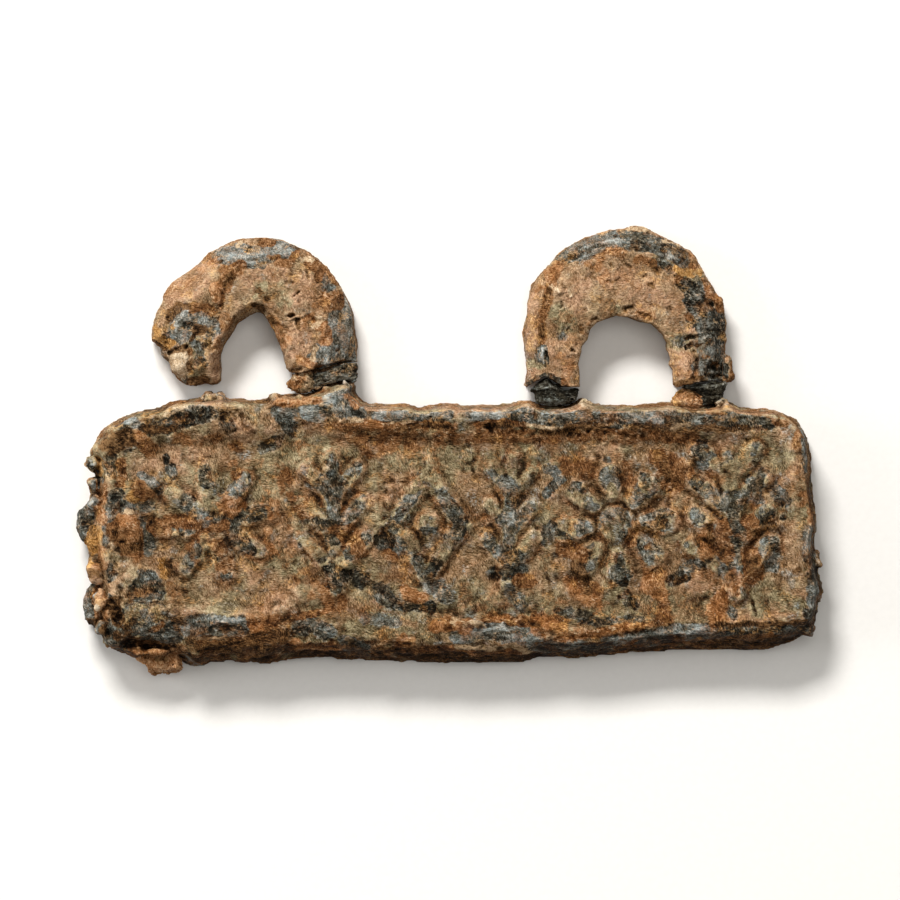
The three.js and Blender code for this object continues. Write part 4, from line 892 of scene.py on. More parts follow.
    ("umber", 0.6, 3, [(124, 472)]), ("lead", 1.15, 4, [(97, 480), (96, 496)]), ("lead", 1.2, 7, [(92, 503), (87, 514), (80, 528)]), ("pale", 0.6, 5, [(90, 506), (82, 522)]),
    ("dark", 1.0, 3, [(83, 536), (85, 540)]), ("dark", 1.0, 3, [(95, 518), (91, 530)]), ("rust", 0.9, 4, [(105, 488), (104, 502)]), ("orange", 1.2, 5, [(101, 511), (103, 518)]),
    ("cream", 0.55, 2, [(105, 510)]), ("ochre", 1.3, 6, [(97, 533), (92, 544)]), ("orange", 1.4, 8, [(94, 552), (98, 562)]), ("ochre", 0.9, 5, [(90, 562), (96, 548)]),
    ("cream", 0.6, 2.6, [(97, 556), (94, 560)]), ("umber", 0.7, 4, [(92, 573), (98, 574)]), ("lead", 1.0, 4.4, [(112, 498), (114, 508), (111, 522)]),
    ("dark", 1.0, 5, [(118, 495), (125, 500)]), ("lead", 1.1, 3, [(107, 528), (108, 546)]), ("lead", 0.8, 5, [(124, 506), (150, 506)]), ("olive", 0.9, 6, [(126, 504), (156, 506)]),
    ("rust", 1.1, 4, [(135, 488), (143, 486)]), ("rust", 0.9, 5, [(138, 497), (152, 494)]), ("ochre", 0.4, 5, [(132, 496), (142, 500)]),
    ("lead", 1.0, 4, [(144, 474), (153, 481), (160, 491)]), ("pale", 1.0, 4, [(146, 476), (156, 484)]), ("lead", 1.1, 4, [(171, 468), (173, 474)]), ("pale", 1.1, 4, [(172, 471)]),
    ("dark", 1.0, 2.4, [(168, 456), (168, 462)]), ("tan", 1.0, 14, [(182, 452), (196, 470), (190, 494)]), 
    ("tan", 0.7, 6, [(146, 464), (156, 462)]), ("rust", 1.15, 12, [(120, 530), (131, 534), (134, 544)]), ("orange", 0.7, 5, [(124, 520), (138, 524)]),
    ("umber", 0.7, 5, [(126, 547), (140, 546)]), ("cream", 0.6, 3, [(113, 545), (118, 550)]), ("cream", 0.5, 2, [(124, 512), (136, 513)]),
    ("lead", 0.8, 6, [(147, 524), (150, 548)]), ("olive", 0.9, 6, [(148, 524), (151, 548)]), ("rust", 1.15, 7, [(155, 524), (163, 531)]), ("umber", 0.8, 3.6, [(160, 529)]),
    ("tan", 0.9, 6, [(163, 540), (174, 535)]), ("tan", 0.8, 9, [(124, 574), (138, 580)]), ("dark", 0.8, 4, [(112, 568), (114, 578)]), ("pale", 0.8, 2, [(115, 580), (118, 576)]),
    ("dark", 1.4, 8, [(150, 580), (141, 592), (157, 594)]), ("dark", 1.2, 8, [(149, 583), (150, 592)]), ("olive", 0.9, 9, [(140, 590), (158, 592)]), ("pale", 1.0, 3, [(144, 572), (148, 574)]), ("lead", 0.9, 4, [(144, 573), (150, 576)]),
    ("ochre", 0.6, 5, [(165, 562), (166, 574)]), ("umber", 0.9, 2.6, [(170, 562), (171, 576)]), ("umber", 0.9, 3, [(187, 590)]), ("rust", 0.7, 5, [(172, 586), (178, 592)]),
    ("orange", 1.0, 5.5, [(101, 597), (101, 606), (104, 615)]), ("orange", 0.9, 4.0, [(98, 588), (98, 604)]), ("cream", 0.35, 2.4, [(99, 606), (102, 616)]),
    ("lead", 1.15, 6, [(93, 588), (88, 603), (88, 615)]), ("pale", 0.6, 5, [(92, 590), (88, 606)]), ("umber", 1.0, 4, [(90, 622), (96, 622)]),
    # Painted shadow: the strong umber and dark in the crater at the lower left corner, about u 113 to 120, v 598 to
    # 620.
    ("umber", 0.8, 2.4, [(118, 598), (116, 602)]), ("umber", 1.7, 5.0, [(114, 603), (116, 611), (120, 619)]), ("dark", 1.3, 6, [(114, 602), (120, 620)]), ("dark", 1.2, 5, [(108, 624), (114, 634)]), ("dark", 1.1, 5, [(102, 627), (106, 632)]), ("umber", 0.9, 4, [(104, 630)]),
    ("dark", 1.1, 9, [(114, 632), (128, 642)]), ("umber", 0.7, 4, [(118, 634), (126, 640)]), ("olive", 0.9, 5, [(116, 624), (128, 634)]), ("dark", 1.15, 6, [(112, 640), (125, 650), (142, 655)]),
    # Painted highlight: the thin lead and pale lines along the edge at about u 101 to 116, v 634 to 653 are glints.
    ("lead", 1.1, 2.2, [(101, 634), (108, 644), (116, 653)]), ("pale", 1.1, 2.2, [(103, 636), (112, 650)]), ("umber", 0.8, 2.0, [(138, 645), (156, 646), (182, 645)]),
    # lump in the corner
    ("olive", 1.0, 10, [(134, 606), (162, 606)]), ("cream", 0.5, 4, [(156, 604), (166, 606)]), ("lead", 1.0, 4.5, [(148, 612), (152, 616)]), ("rust", 0.6, 3, [(134, 613)]),
    ("dark", 1.0, 7, [(136, 626), (150, 630), (172, 626)]), ("rust", 0.8, 4, [(152, 630), (164, 624)]), ("dark", 1.2, 5, [(146, 639), (178, 638)]), ("umber", 0.7, 5, [(176, 612), (180, 624)]),
    ("pale", 0.9, 1.5, [(150, 634), (166, 636), (180, 632)]), ("umber", 0.8, 3, [(128, 626), (130, 632)]), ("dark", 0.8, 4, [(166, 612), (172, 618)]),
    # sunk panel, ground between the figures
    ("tan", 1.0, 8, [(300, 458), (320, 449), (336, 442)]), ("tan", 0.8, 9, [(384, 452), (420, 452)]), ("rust", 0.6, 9, [(372, 446), (410, 446), (440, 440)]),
    ("tan", 0.9, 12, [(388, 486), (376, 500)]), ("tan", 0.8, 7, [(370, 518), (370, 548)]), ("rust", 0.9, 5, [(234, 446), (240, 448)]), ("rust", 0.8, 5, [(234, 464), (238, 476)]),
    ("orange", 0.8, 8, [(226, 503), (236, 508)]), ("rust", 0.9, 6, [(206, 520), (224, 524)]), ("rust", 0.7, 7, [(194, 540), (196, 556)]), ("tan", 0.8, 10, [(236, 566), (246, 576)]),
    ("dark", 0.9, 3.6, [(266, 444), (280, 440)]), ("lead", 0.8, 4, [(262, 448), (278, 444)]), ("dark", 1.0, 4, [(288, 428), (292, 434)]), ("rust", 0.6, 8, [(284, 476), (288, 488)]),
    ("orange", 0.5, 7, [(268, 500), (276, 512)]), ("rust", 0.7, 8, [(306, 512), (300, 500)]), ("orange", 0.4, 8, [(268, 536), (276, 548)]), ("tan", 0.7, 8, [(294, 530), (296, 552)]),
    ("rust", 0.7, 10, [(320, 590), (336, 602)]), ("rust", 0.6, 6, [(300, 576), (330, 582)]), ("rust", 1.0, 8, [(336, 530), (352, 534), (358, 550)]), ("umber", 0.6, 4, [(358, 546)]),
    ("tan", 0.8, 8, [(330, 556), (344, 552)]), ("dark", 0.9, 7, [(340, 574), (364, 580)]), ("olive", 0.8, 6, [(350, 568), (368, 576)]), ("dark", 0.9, 8, [(384, 540), (394, 526)]),
    ("lead", 0.7, 8, [(388, 532), (402, 552)]), ("rust", 0.8, 5, [(386, 552), (394, 558)]), ("lead", 1.1, 6, [(380, 590), (390, 600)]), ("dark", 0.9, 5, [(390, 602), (430, 606)]),
    ("orange", 0.8, 5, [(406, 590), (420, 596)]), ("rust", 1.0, 6, [(410, 596), (420, 598)]), ("lead", 1.0, 7, [(430, 584), (446, 596)]), ("olive", 0.8, 10, [(470, 590), (486, 600)]),
    ("olive", 0.8, 9, [(500, 600), (530, 606)]), ("lead", 0.8, 6, [(510, 590), (524, 604)]), ("rust", 1.1, 5, [(518, 578), (530, 582)]), ("tan", 0.7, 8, [(500, 592), (506, 584)]),
    ("dark", 0.8, 6, [(490, 574), (520, 570)]), ("lead", 1.1, 4, [(548, 468), (556, 474)]), ("pale", 1.2, 4, [(550, 470), (562, 480)]), ("lead", 1.2, 4, [(560, 479), (546, 494)]),
    ("rust", 0.9, 9, [(568, 464), (590, 468)]), ("tan", 0.8, 8, [(596, 452), (612, 450)]), ("lead", 0.8, 4, [(606, 460)]), ("rust", 0.7, 8, [(620, 470), (628, 488)]),
    ("tan", 0.9, 11, [(552, 508), (566, 504)]), ("tan", 0.8, 6, [(536, 530), (540, 544)]), ("lead", 0.8, 6, [(550, 526), (548, 540)]), ("rust", 1.1, 8, [(566, 548), (580, 556)]),
    ("umber", 0.8, 6, [(576, 566), (584, 576)]), ("rust", 1.0, 8, [(572, 584), (592, 590)]), ("orange", 0.7, 7, [(574, 590), (592, 602)]), ("umber", 0.8, 3, [(584, 578), (588, 592)]),
    ("dark", 1.0, 5, [(618, 556), (622, 580)]), ("olive", 0.9, 10, [(612, 592), (634, 604)]), ("dark", 0.6, 6, [(624, 596), (632, 606)]), ("rust", 0.8, 6, [(634, 526), (630, 540)]),
    ("rust", 1.0, 10, [(660, 460), (680, 470), (672, 484)]), ("umber", 0.7, 4, [(664, 464), (668, 478)]), ("dark", 0.7, 6, [(646, 478), (654, 484)]),
    ("tan", 0.9, 9, [(672, 500), (672, 530)]), ("tan", 1.0, 7, [(712, 474), (706, 500), (696, 530)]), ("lead", 0.9, 6, [(702, 446), (700, 462)]),
    ("orange", 1.0, 8, [(650, 582), (658, 592)]), ("rust", 0.9, 5, [(648, 572), (662, 574)]), ("rust", 1.0, 6, [(664, 604), (664, 620)]), ("dark", 1.1, 5, [(672, 580), (684, 576)]),
    ("umber", 0.55, 3, [(672, 582), (684, 577)]), ("lead", 1.0, 5, [(684, 570), (694, 564)]), ("tan", 0.7, 8, [(692, 588), (704, 580)]), ("olive", 0.9, 9, [(686, 602), (704, 610)]),
    ("rust", 1.1, 7, [(708, 532), (706, 550)]), ("orange", 0.7, 6, [(704, 540), (704, 556)]), ("umber", 0.6, 3, [(708, 526), (712, 548)]), ("lead", 0.7, 4, [(722, 552), (724, 566)]),
    ("rust", 1.15, 8, [(750, 522), (752, 534)]), ("umber", 0.8, 3, [(754, 534)]), ("rust", 1.2, 9, [(750, 556), (752, 572)]), ("umber", 0.6, 5, [(752, 568), (750, 560)]),
    ("lead", 1.0, 8, [(766, 546), (768, 562)]), ("lead", 0.9, 7, [(772, 490), (780, 500)]), ("pale", 0.5, 6, [(774, 494)]), ("lead", 0.8, 5, [(750, 482), (756, 498)]),
    ("tan", 0.3, 8, [(786, 500), (784, 540)]), ("tan", 0.8, 6, [(790, 450), (790, 474)]), ("orange", 0.8, 8, [(732, 580), (728, 592)]), ("orange", 1.1, 7, [(718, 598), (714, 616)]),
    ("rust", 0.7, 5, [(716, 604), (722, 618)]), ("olive", 1.0, 10, [(744, 592), (760, 606)]), ("lead", 0.9, 4, [(728, 610), (732, 614)]), ("tan", 0.2, 8, [(776, 604), (796, 602)]), ("olive", 0.9, 8, [(776, 598), (796, 606)]),
    ("rust", 0.6, 5, [(800, 470), (802, 500)]), ("dark", 0.6, 3, [(782, 518)]),
    # broad soft areas of the ground
    ("olive", 1.0, 9, [(392, 458), (440, 456), (480, 462), (540, 462)]), ("olive", 0.9, 9, [(372, 612), (430, 610), (470, 606)]),
    ("olive", 1.0, 9, [(480, 606), (540, 608)]), ("olive", 0.9, 8, [(596, 606), (650, 604)]), ("olive", 0.8, 9, [(690, 604), (760, 596)]),
    ("olive", 0.8, 10, [(262, 556), (300, 566)]), ("olive", 0.7, 9, [(120, 470), (128, 492)]), ("olive", 0.7, 8, [(296, 500), (306, 540)]),
    ("rust", 0.95, 7, [(174, 520), (200, 526), (224, 526)]), ("rust", 0.9, 8, [(222, 548), (226, 566)]), ("rust", 1.0, 8, [(722, 528), (728, 556)]),
    ("rust", 0.8, 6, [(648, 546)]), ("tan", 0.5, 12, [(766, 462), (772, 500)]), ("tan", 0.7, 10, [(316, 520), (300, 600)]), ("tan", 1.0, 8, [(262, 606), (290, 601), (318, 588)]),
    ("tan", 0.7, 10, [(212, 560), (214, 600)]), ("tan", 0.6, 8, [(196, 470), (190, 505)]),
    # Painted light: this cream line lies along the upper flank that faces the lamps.
    ("cream", 0.8, 2.2, [(526, 403), (560, 405), (604, 403)]), ("cream", 0.7, 2, [(672, 403), (720, 404)]),
    # tablet, right edge
    ("lead", 1.1, 5, [(806, 530), (808, 556)]), ("pale", 0.8, 3.4, [(806, 536), (808, 546)]), ("dark", 0.9, 5, [(808, 560), (812, 574)]), ("lead", 1.1, 7, [(812, 576), (816, 604)]),
    ("dark", 0.9, 6, [(810, 612), (812, 624)]), ("rust", 0.7, 5, [(806, 480), (810, 510)]), ("orange", 0.5, 4, [(808, 518), (812, 522)]), ("umber", 0.6, 4, [(800, 566), (796, 572)]),
    # tablet, lower border from left to right
    ("tan", 1.0, 5, [(190, 610), (220, 611), (252, 612)]), ("lead", 1.25, 8, [(192, 626), (216, 625), (240, 627)]),
    # Painted light and shade: the pale along the ridge's top at v 621 and the dark along its lower side at v 627 to
    # 629.
    ("dark", 1.0, 5, [(196, 627), (210, 627)]), ("dark", 0.9, 4, [(226, 629), (240, 629)]), ("pale", 0.7, 4, [(200, 621), (224, 622)]), ("cream", 0.9, 1.5, [(190, 636), (206, 637), (226, 636)]),
    ("orange", 1.0, 2.2, [(198, 639), (214, 638), (226, 637)]), ("rust", 1.0, 6, [(252, 622), (268, 626), (276, 620)]), ("orange", 0.9, 5, [(256, 626), (266, 632)]),
    ("rust", 1.1, 3, [(268, 628), (290, 618), (326, 610)]), ("umber", 0.6, 2, [(280, 622), (300, 615)]), ("dark", 1.1, 6.5, [(300, 628), (314, 624), (328, 632)]),
    # Painted highlights: the pale, lead and cream spots at about u 325 to 334, v 627 to 630 and u 344 to 354, v 638 to
    # 641 are glints.
    ("lead", 0.9, 4, [(298, 622), (312, 620)]), ("pale", 1.3, 2.4, [(325, 627), (334, 630)]), ("lead", 1.2, 3, [(325, 627), (334, 630)]), ("cream", 0.8, 2, [(347, 638), (352, 640)]),
    ("pale", 1.3, 3, [(346, 638), (354, 641)]), ("lead", 1.2, 3.4, [(344, 638), (354, 641)]), ("dark", 1.2, 6, [(346, 646), (364, 650)]), ("umber", 0.8, 4, [(352, 648), (366, 652)]),
    ("orange", 0.6, 6, [(296, 644), (320, 650), (338, 650)]), ("olive", 0.9, 6, [(300, 640), (336, 646)]), ("olive", 1.0, 7, [(350, 626), (392, 630), (410, 636)]),
    ("orange", 0.5, 6, [(386, 634), (410, 640)]), ("rust", 1.0, 3, [(376, 650), (400, 650), (422, 648)]), ("lead", 0.7, 6, [(366, 618), (396, 620)]),
    ("tan", 0.8, 6, [(380, 612), (420, 614)]), ("orange", 1.0, 6, [(436, 626), (452, 622), (468, 626)]), ("cream", 0.5, 4, [(448, 618), (464, 624)]),
    ("rust", 1.0, 3.6, [(486, 619), (500, 617)]), ("orange", 0.8, 3, [(490, 615), (506, 616)]), ("rust", 1.1, 5, [(510, 620), (532, 622)]), ("tan", 0.8, 2.6, [(474, 622), (500, 622), (520, 618)]),
    ("lead", 1.25, 7, [(458, 634), (486, 628), (516, 629), (530, 636)]), ("pale", 1.1, 6, [(470, 628), (500, 627)]), ("cream", 0.4, 3, [(470, 624), (486, 624)]), ("dark", 1.0, 3.6, [(484, 635), (508, 636)]),
    ("lead", 1.1, 4, [(504, 638), (528, 640)]), ("pale", 0.8, 3, [(510, 637), (524, 639)]), ("orange", 1.1, 9, [(540, 626), (560, 632)]), ("rust", 1.0, 7, [(536, 620), (560, 622)]),
    ("cream", 0.2, 4, [(536, 634), (550, 636)]), ("umber", 0.35, 5, [(536, 626), (548, 632)]), ("orange", 0.9, 4.5, [(574, 634), (606, 631), (640, 624)]), ("rust", 1.0, 3.4, [(600, 630), (630, 626), (656, 622)]),
    ("cream", 0.5, 2.4, [(576, 632), (612, 628)]), ("cream", 1.1, 2, [(456, 645), (476, 648), (500, 647)]), ("cream", 1.1, 2, [(502, 648), (514, 646), (532, 653)]),
    ("orange", 1.0, 2.6, [(452, 647), (480, 650), (508, 650)]), ("rust", 1.0, 3, [(420, 650), (450, 650), (490, 653), (520, 654)]),
    ("lead", 1.15, 6, [(534, 646), (560, 645), (580, 648)]), ("dark", 1.0, 5, [(546, 650), (580, 652)]), ("dark", 1.25, 6, [(564, 652), (606, 650)]), ("umber", 0.7, 4, [(570, 656), (604, 655)]),
    ("lead", 1.1, 5, [(606, 640), (640, 636), (668, 632)]), ("pale", 0.9, 3.6, [(612, 640), (624, 636)]), ("dark", 1.1, 5, [(640, 644), (654, 642), (668, 640)]),
    ("lead", 1.2, 6, [(676, 630), (700, 630), (714, 632)]), ("pale", 1.1, 4, [(680, 629), (698, 628)]), ("dark", 0.9, 4, [(690, 638), (712, 638)]),
    ("olive", 0.9, 6, [(576, 614), (620, 616), (650, 612)]), ("dark", 0.8, 4, [(580, 618), (610, 620), (640, 618)]), ("dark", 0.7, 4, [(560, 610), (590, 616)]),
    ("tan", 0.8, 4, [(726, 617), (760, 618), (800, 616)]), ("umber", 1.2, 1.8, [(716, 623), (750, 624), (790, 622), (808, 622)]), ("dark", 1.15, 6, [(716, 629), (740, 630), (766, 627)]),
    ("dark", 1.1, 6, [(776, 630), (806, 630)]), ("pale", 0.7, 2, [(782, 628), (806, 631)]), ("lead", 0.8, 3, [(730, 627), (760, 630), (800, 630)]),
    ("rust", 0.9, 3.4, [(668, 642), (700, 640), (718, 644)]), ("rust", 0.9, 4, [(724, 640), (750, 636), (770, 634)]), ("umber", 0.9, 5, [(716, 646), (760, 644), (790, 638)]),
    ("rust", 0.8, 4, [(600, 648), (640, 648), (660, 646)]),
    ("umber", 0.85, 7, [(192, 642), (236, 643), (286, 634)]), ("rust", 0.8, 5, [(200, 640), (250, 640), (280, 634)]),
    # long edge below it; the umber bands that run along this edge, from about v 634 down, here and in the lines above,
    # are painted shade on an edge turned from the lamps, apart from the crack in the flake
    ("rust", 0.9, 5, [(200, 646), (226, 646), (260, 648)]), ("olive", 0.8, 5, [(196, 658), (240, 656)]), ("lead", 0.9, 2.6, [(186, 664), (204, 667)]), ("tan", 0.5, 4, [(230, 648), (262, 652)]),
    ("umber", 0.9, 5, [(262, 652), (272, 648), (262, 660)]), ("umber", 1.3, 6, [(420, 660), (470, 662), (540, 662)]), ("umber", 1.2, 5, [(300, 660), (360, 660)]),
    ("orange", 1.1, 6, [(140, 652), (160, 650)]), ("orange", 1.1, 4.5, [(153, 665), (168, 665)]), ("rust", 0.9, 7, [(138, 656), (150, 656), (178, 652)]), ("orange", 1.1, 7, [(140, 660), (160, 662), (176, 662)]), ("umber", 1.4, 2.4, [(158, 658), (167, 658)]),
    ("lead", 0.9, 2.2, [(150, 671), (166, 671.5), (180, 670)]),
]
KINDS = ("lead", "dark", "rust", "orange", "ochre", "cream", "olive", "tan", "pale", "umber")


def coverage(x, y, seed=0):
    """Share of each point that each kind covers, by the patch list."""
    wx = x + 0.22 * fbm(x, y, 2.2, 1.3, 3, 101 + seed) + 0.13 * fbm(x, y, 4.2, 0.4, 3, 103 + seed)
    wy = y + 0.22 * fbm(x, y, 8.2, 1.3, 3, 107 + seed) + 0.13 * fbm(x, y, 5.2, 0.4, 3, 109 + seed)
    out = {kind: np.zeros(len(x)) for kind in KINDS}
    for kind, share, half, line in PATCHES:
        pts = outline(line)
        reach = half * 1.12 * GRID
        pad = 1.9 * reach
        near = np.nonzero(
            (wx > pts[:, 0].min() - pad) & (wx < pts[:, 0].max() + pad)
            & (wy > pts[:, 1].min() - pad) & (wy < pts[:, 1].max() + pad)
        )[0]
        if not len(near):
            continue
        if len(pts) == 1:
            d = np.hypot(wx[near] - pts[0, 0], wy[near] - pts[0, 1])
        else:
            d, _ = segments(wx[near], wy[near], pts, closed=False)
        claim = share * (1 - ss(0.45, 1.65, d / reach))
        out[kind][near] = np.maximum(out[kind][near], claim)
    return out


def even(n):
    """Noise as a rank from 0 to 1, so that a coverage is a true share of the area."""
    t = (n - n.mean()) / max(float(n.std()), 1e-6)
    return 1 / (1 + np.exp(-1.702 * t))


def weather(name, verts, faces, seed, ground=None, figures_at=None, still_below=0.04, relief_scale=1.0, soil=0.5, eye=None):
    """Roughens a raw piece along its normals and works out its masks. Returns vertices and masks."""
    n = normals(verts, faces)
    n = smooth(n, faces, 2)
    n /= np.maximum(np.linalg.norm(n, axis=1, keepdims=True), 1e-9)
    x, y, z = verts.T
    hollow = ((smooth(verts, faces, 14) - verts) * n).sum(1)  # mm, positive in hollows
    hollow = np.clip(hollow / 0.05, -1, 1)
    # down a wall the patches of the face wander and give way to what lies anywhere
    wall = ss(0.60, 0.25, n[:, 2])
    wx = 0.75 * wall * fbm(x, y, z, 1.3, 3, seed + 181, 0.6)
    wy = 0.75 * wall * fbm(x, y, z, 1.3, 3, seed + 185, 0.6)
    cov = coverage(x + wx, y + wy)
    rim_z = float(z.max()) - 0.55
    down = wall * ss(rim_z - 0.1, rim_z - 1.5, z + 0.8 * fbm(x, y, z, 1.6, 3, seed + 187, 0.6))
    eaten = down  # a wall is eaten back a little below its rim
    if figures_at is not None:
        down = down * ss(my(640), my(628), y)
    for kind in KINDS:
        cov[kind] = cov[kind] * (1 - 0.9 * down)
    base = {"lead": 0.05, "dark": 0.02, "rust": 0.03, "orange": 0.01, "ochre": 0.0, "cream": -0.1, "olive": 0.40, "tan": 0.0, "pale": 0.18, "umber": 0.0}
    base.update(ground or {})
    for kind, share in (ground or {}).items():
        if share < 0:
            cov[kind] = cov[kind] * 0.1 + (share if share <= -0.25 else 0)
    flank = ss(0.75, 0.25, n[:, 2])
    if figures_at is not None:
        fig = figures_at(x, y) * 1.0
        on = ss(-0.15, 0.30, fig) * (1 - flank)
        rim = ss(-0.55, -0.15, fig) * (1 - ss(-0.05, 0.25, fig)) * (1 - flank)
        side = fbm(x, y, 0, 2.6, 3, seed + 191)
        other = fbm(x, y, 5, 2.2, 3, seed + 195)
        cov["lead"] = np.maximum(cov["lead"], 1.0 * on * ss(-0.10, 0.08, side))
        cov["dark"] = np.maximum(cov["dark"], 0.95 * on * ss(-0.02, 0.16, other) + 0.30 * rim * ss(0.1, -0.2, side))
        cov["olive"] = np.maximum(cov["olive"], 0.85 * on)
        cov["rust"] = np.maximum(0.93 * cov["rust"], 0.28 * rim)
        # The long edge below the panel is turned from the lamps: rust lies on it, and the umber, dark and thinner soil
        # put on it are painted shade.
        rust_and_shade_flank = ss(0.35, 0.85, -n[:, 1]) * ss(0.9, 0.6, n[:, 2]) * ss(my(625), my(637), y)  # the long edge below the panel
        ragged = fbm(x, y, z, 1.3, 4, seed + 193, 0.6)
        rust_and_shade_flank = rust_and_shade_flank * ss(-0.95, -0.15, ragged - 0.35)
        # Painted shade: darker still lower down that edge.
        deep = ss(3.4, 1.8, z)
        cov["umber"] = np.maximum(cov["umber"], (0.40 + 0.10 * deep) * rust_and_shade_flank)
        cov["rust"] = np.maximum(cov["rust"], 0.85 * rust_and_shade_flank)
        cov["dark"] = np.maximum(cov["dark"], 0.26 * rust_and_shade_flank)
        # Painted light: on the upper flank that faces the lamps, light tan soil takes the place of metal, dark, olive
        # and rust.
        painted_light_flank = ss(0.3, 0.9, n[:, 1]) * ss(0.98, 0.80, n[:, 2]) * ss(mx(150), mx(250), x) * ss(my(440), my(425), y)
        cov["tan"] = np.maximum(cov["tan"], 1.0 * painted_light_flank)
        for kind in ("lead", "dark", "olive", "rust"):
            cov[kind] = cov[kind] * (1 - 0.85 * painted_light_flank)
    # Dark kinds gather in hollows and bare lead shows on bumps: dirt and wear, and in the hollows also painted shade.
    more = {"lead": 0.10 * np.clip(-hollow, 0, 1), "dark": 0.10 * np.clip(hollow, 0, 1), "umber": 0.40 * np.clip(hollow - 0.2, 0, 1), "rust": 0.12 * np.clip(hollow, 0, 1)}
    for kind, share in (("lead", 0.16), ("dark", 0.10), ("rust", 0.26), ("umber", 0.14)):
        more[kind] = more[kind] + share * down
    mask = {}
    for k, (kind, scale) in enumerate(
        [("lead", 1.5), ("dark", 1.1), ("rust", 1.9), ("orange", 1.3), ("ochre", 1.2), ("cream", 0.9), ("olive", 2.4), ("tan", 2.0), ("pale", 1.3), ("umber", 1.6)]
    ):
        # what is meant to lie at a place is broken up finely; what lies anywhere comes in clumps
        u = even(fbm(x, y, z, 0.70, 4, seed + 201 + 10 * k, 0.55))
        clump = even(fbm(x, y, z, scale, 5, seed + 204 + 10 * k, 0.52))
        anywhere = (base[kind] + more.get(kind, 0)) * 1.06 - clump
        mask[kind] = np.maximum(cov[kind] * 1.10 - 0.1 - u * 0.72, anywhere)
    # where bare metal is meant to show, little rust lies over it
    metal_cov = np.maximum(cov["lead"], cov["dark"])
    mask["rust"] = mask["rust"] - 1.2 * np.clip(metal_cov - cov["rust"] + 0.10, 0, 0.8) * ss(0.3, 0.6, metal_cov)

    # grain of the metal: round the loops, along the borders and steeply across the middle of the panel
    if eye is not None:
        ax, ay = x - mx(eye[0]), y - my(eye[1])
        r, a = np.hypot(ax, ay), np.arctan2(ay, ax)
        streak = fbm(1.7 * np.cos(a), 1.7 * np.sin(a), r * 2.1, 1.0, 4, seed + 381, 0.6)
    else:
        along = fbm(x * 0.55, y * 1.45, z * 1.2, 1.0, 4, seed + 381, 0.6)
        steep = fbm(x * 1.8 + y * 0.5, y * 0.36 - x * 0.1, z, 1.0, 4, seed + 391, 0.6)
        w = ss(mx(470), mx(560), x) * ss(mx(790), mx(720), x) * ss(my(622), my(600), y) * ss(my(430), my(455), y)
        streak = along * (1 - w) + steep * w

    thick = soil + (0.12 if figures_at is not None else 0.14) * fbm(x, y, z, 2.0, 5, seed + 401, 0.60) + 0.08 * streak
    # Thinner, darker soil in hollows: partly dirt, partly painted shade.
    thick += 0.13 * np.clip(cov["tan"], 0, 1.3) - 0.09 * hollow
    if figures_at is not None:
        # Painted shade: the soil is made streaky and darker on the long edge below the panel, at the right end and just
        # below the upper border's inner wall. It is also darker at the bottom border and lighter at the left end.
        thick += (0.34 * streak - 0.04 - 0.03 * deep) * rust_and_shade_flank - 0.11 * ss(mx(796), mx(814), x)
        thick += -0.10 * ss(my(606), my(624), y) + 0.06 * ss(mx(124), mx(104), x) - 0.04 * ss(my(440), my(428), y) * ss(mx(130), mx(180), x)

    bare = ss(-0.10, 0.14, np.maximum(mask["lead"], mask["dark"] - 0.03))
    crust = ss(-0.05, 0.15, np.maximum(mask["rust"], mask["orange"]))
    d = -0.050 * bare + 0.030 * crust * (1 - bare)
    d += 0.35 * (thick - soil) * (1 - bare)
    d += 0.060 * fbm(x, y, z, 1.15, 3, seed + 301, 0.6)
    d += 0.045 * fbm(x, y, z, 0.46, 2, seed + 311)
    d += 0.075 * streak * (0.35 + 0.9 * bare)
    c1, c2, who = cells(x, y, z, 0.62, seed + 321)
    d += 0.045 * (who > 0.90) * (1 - ss(0.12, 0.42, c1))  # sand grains stuck on
    pit = ss(0.46, 0.66, fbm(x, y, z, 0.52, 2, seed + 331)) * ss(-0.1, 0.3, fbm(x, y, z, 3.0, 2, seed + 335))
    d -= 0.13 * pit
    vein = np.abs(gnoise(x / 1.9, y / 1.9, z / 1.9, seed + 351) + 0.3 * gnoise(x / 0.7, y / 0.7, z / 0.7, seed + 353))
    crack = (1 - ss(0.0, 0.08, vein)) * ss(0.1, 0.35, fbm(x, y, z, 4.0, 2, seed + 355))
    d -= 0.06 * crack
    d -= 0.20 * eaten * np.clip(0.42 + 1.2 * fbm(x, y, z, 1.5, 4, seed + 361, 0.6), 0, 1)
    d = d * relief_scale * (ss(-0.02, 0.30, z) * 0.9 + 0.1)
    out = verts + n * d[:, None]
    out[:, 2] = np.maximum(out[:, 2], 0.0)
    low = verts[:, 2] < still_below
    out[low, 2] = np.clip(out[low, 2], 0, 0.02)
    n_after = normals(out, faces)
    fine = ((smooth(out, faces, 3) - out) * n_after).sum(1)
    wide = ((smooth(out, faces, 20) - out) * n_after).sum(1)

    def half(v):
        return np.clip(0.5 + 0.5 * v, 0, 1)

    masks = {
        "of_a": (half(mask["lead"]), half(mask["dark"]), half(mask["rust"])),
        "of_b": (half(mask["orange"]), half(mask["cream"]), half(mask["olive"])),
        "of_c": (np.clip(0.5 + fine * 7, 0, 1), np.clip(0.5 + wide * 2.6, 0, 1), half(streak)),
        "of_d": (half(mask["ochre"]), np.clip(np.maximum(pit, 0.6 * crack), 0, 1), np.clip(thick, 0, 1)),
        "of_e": (half(mask["pale"]), half(mask["umber"]), np.clip(cov["tan"], 0, 1)),
    }
    return out, masks


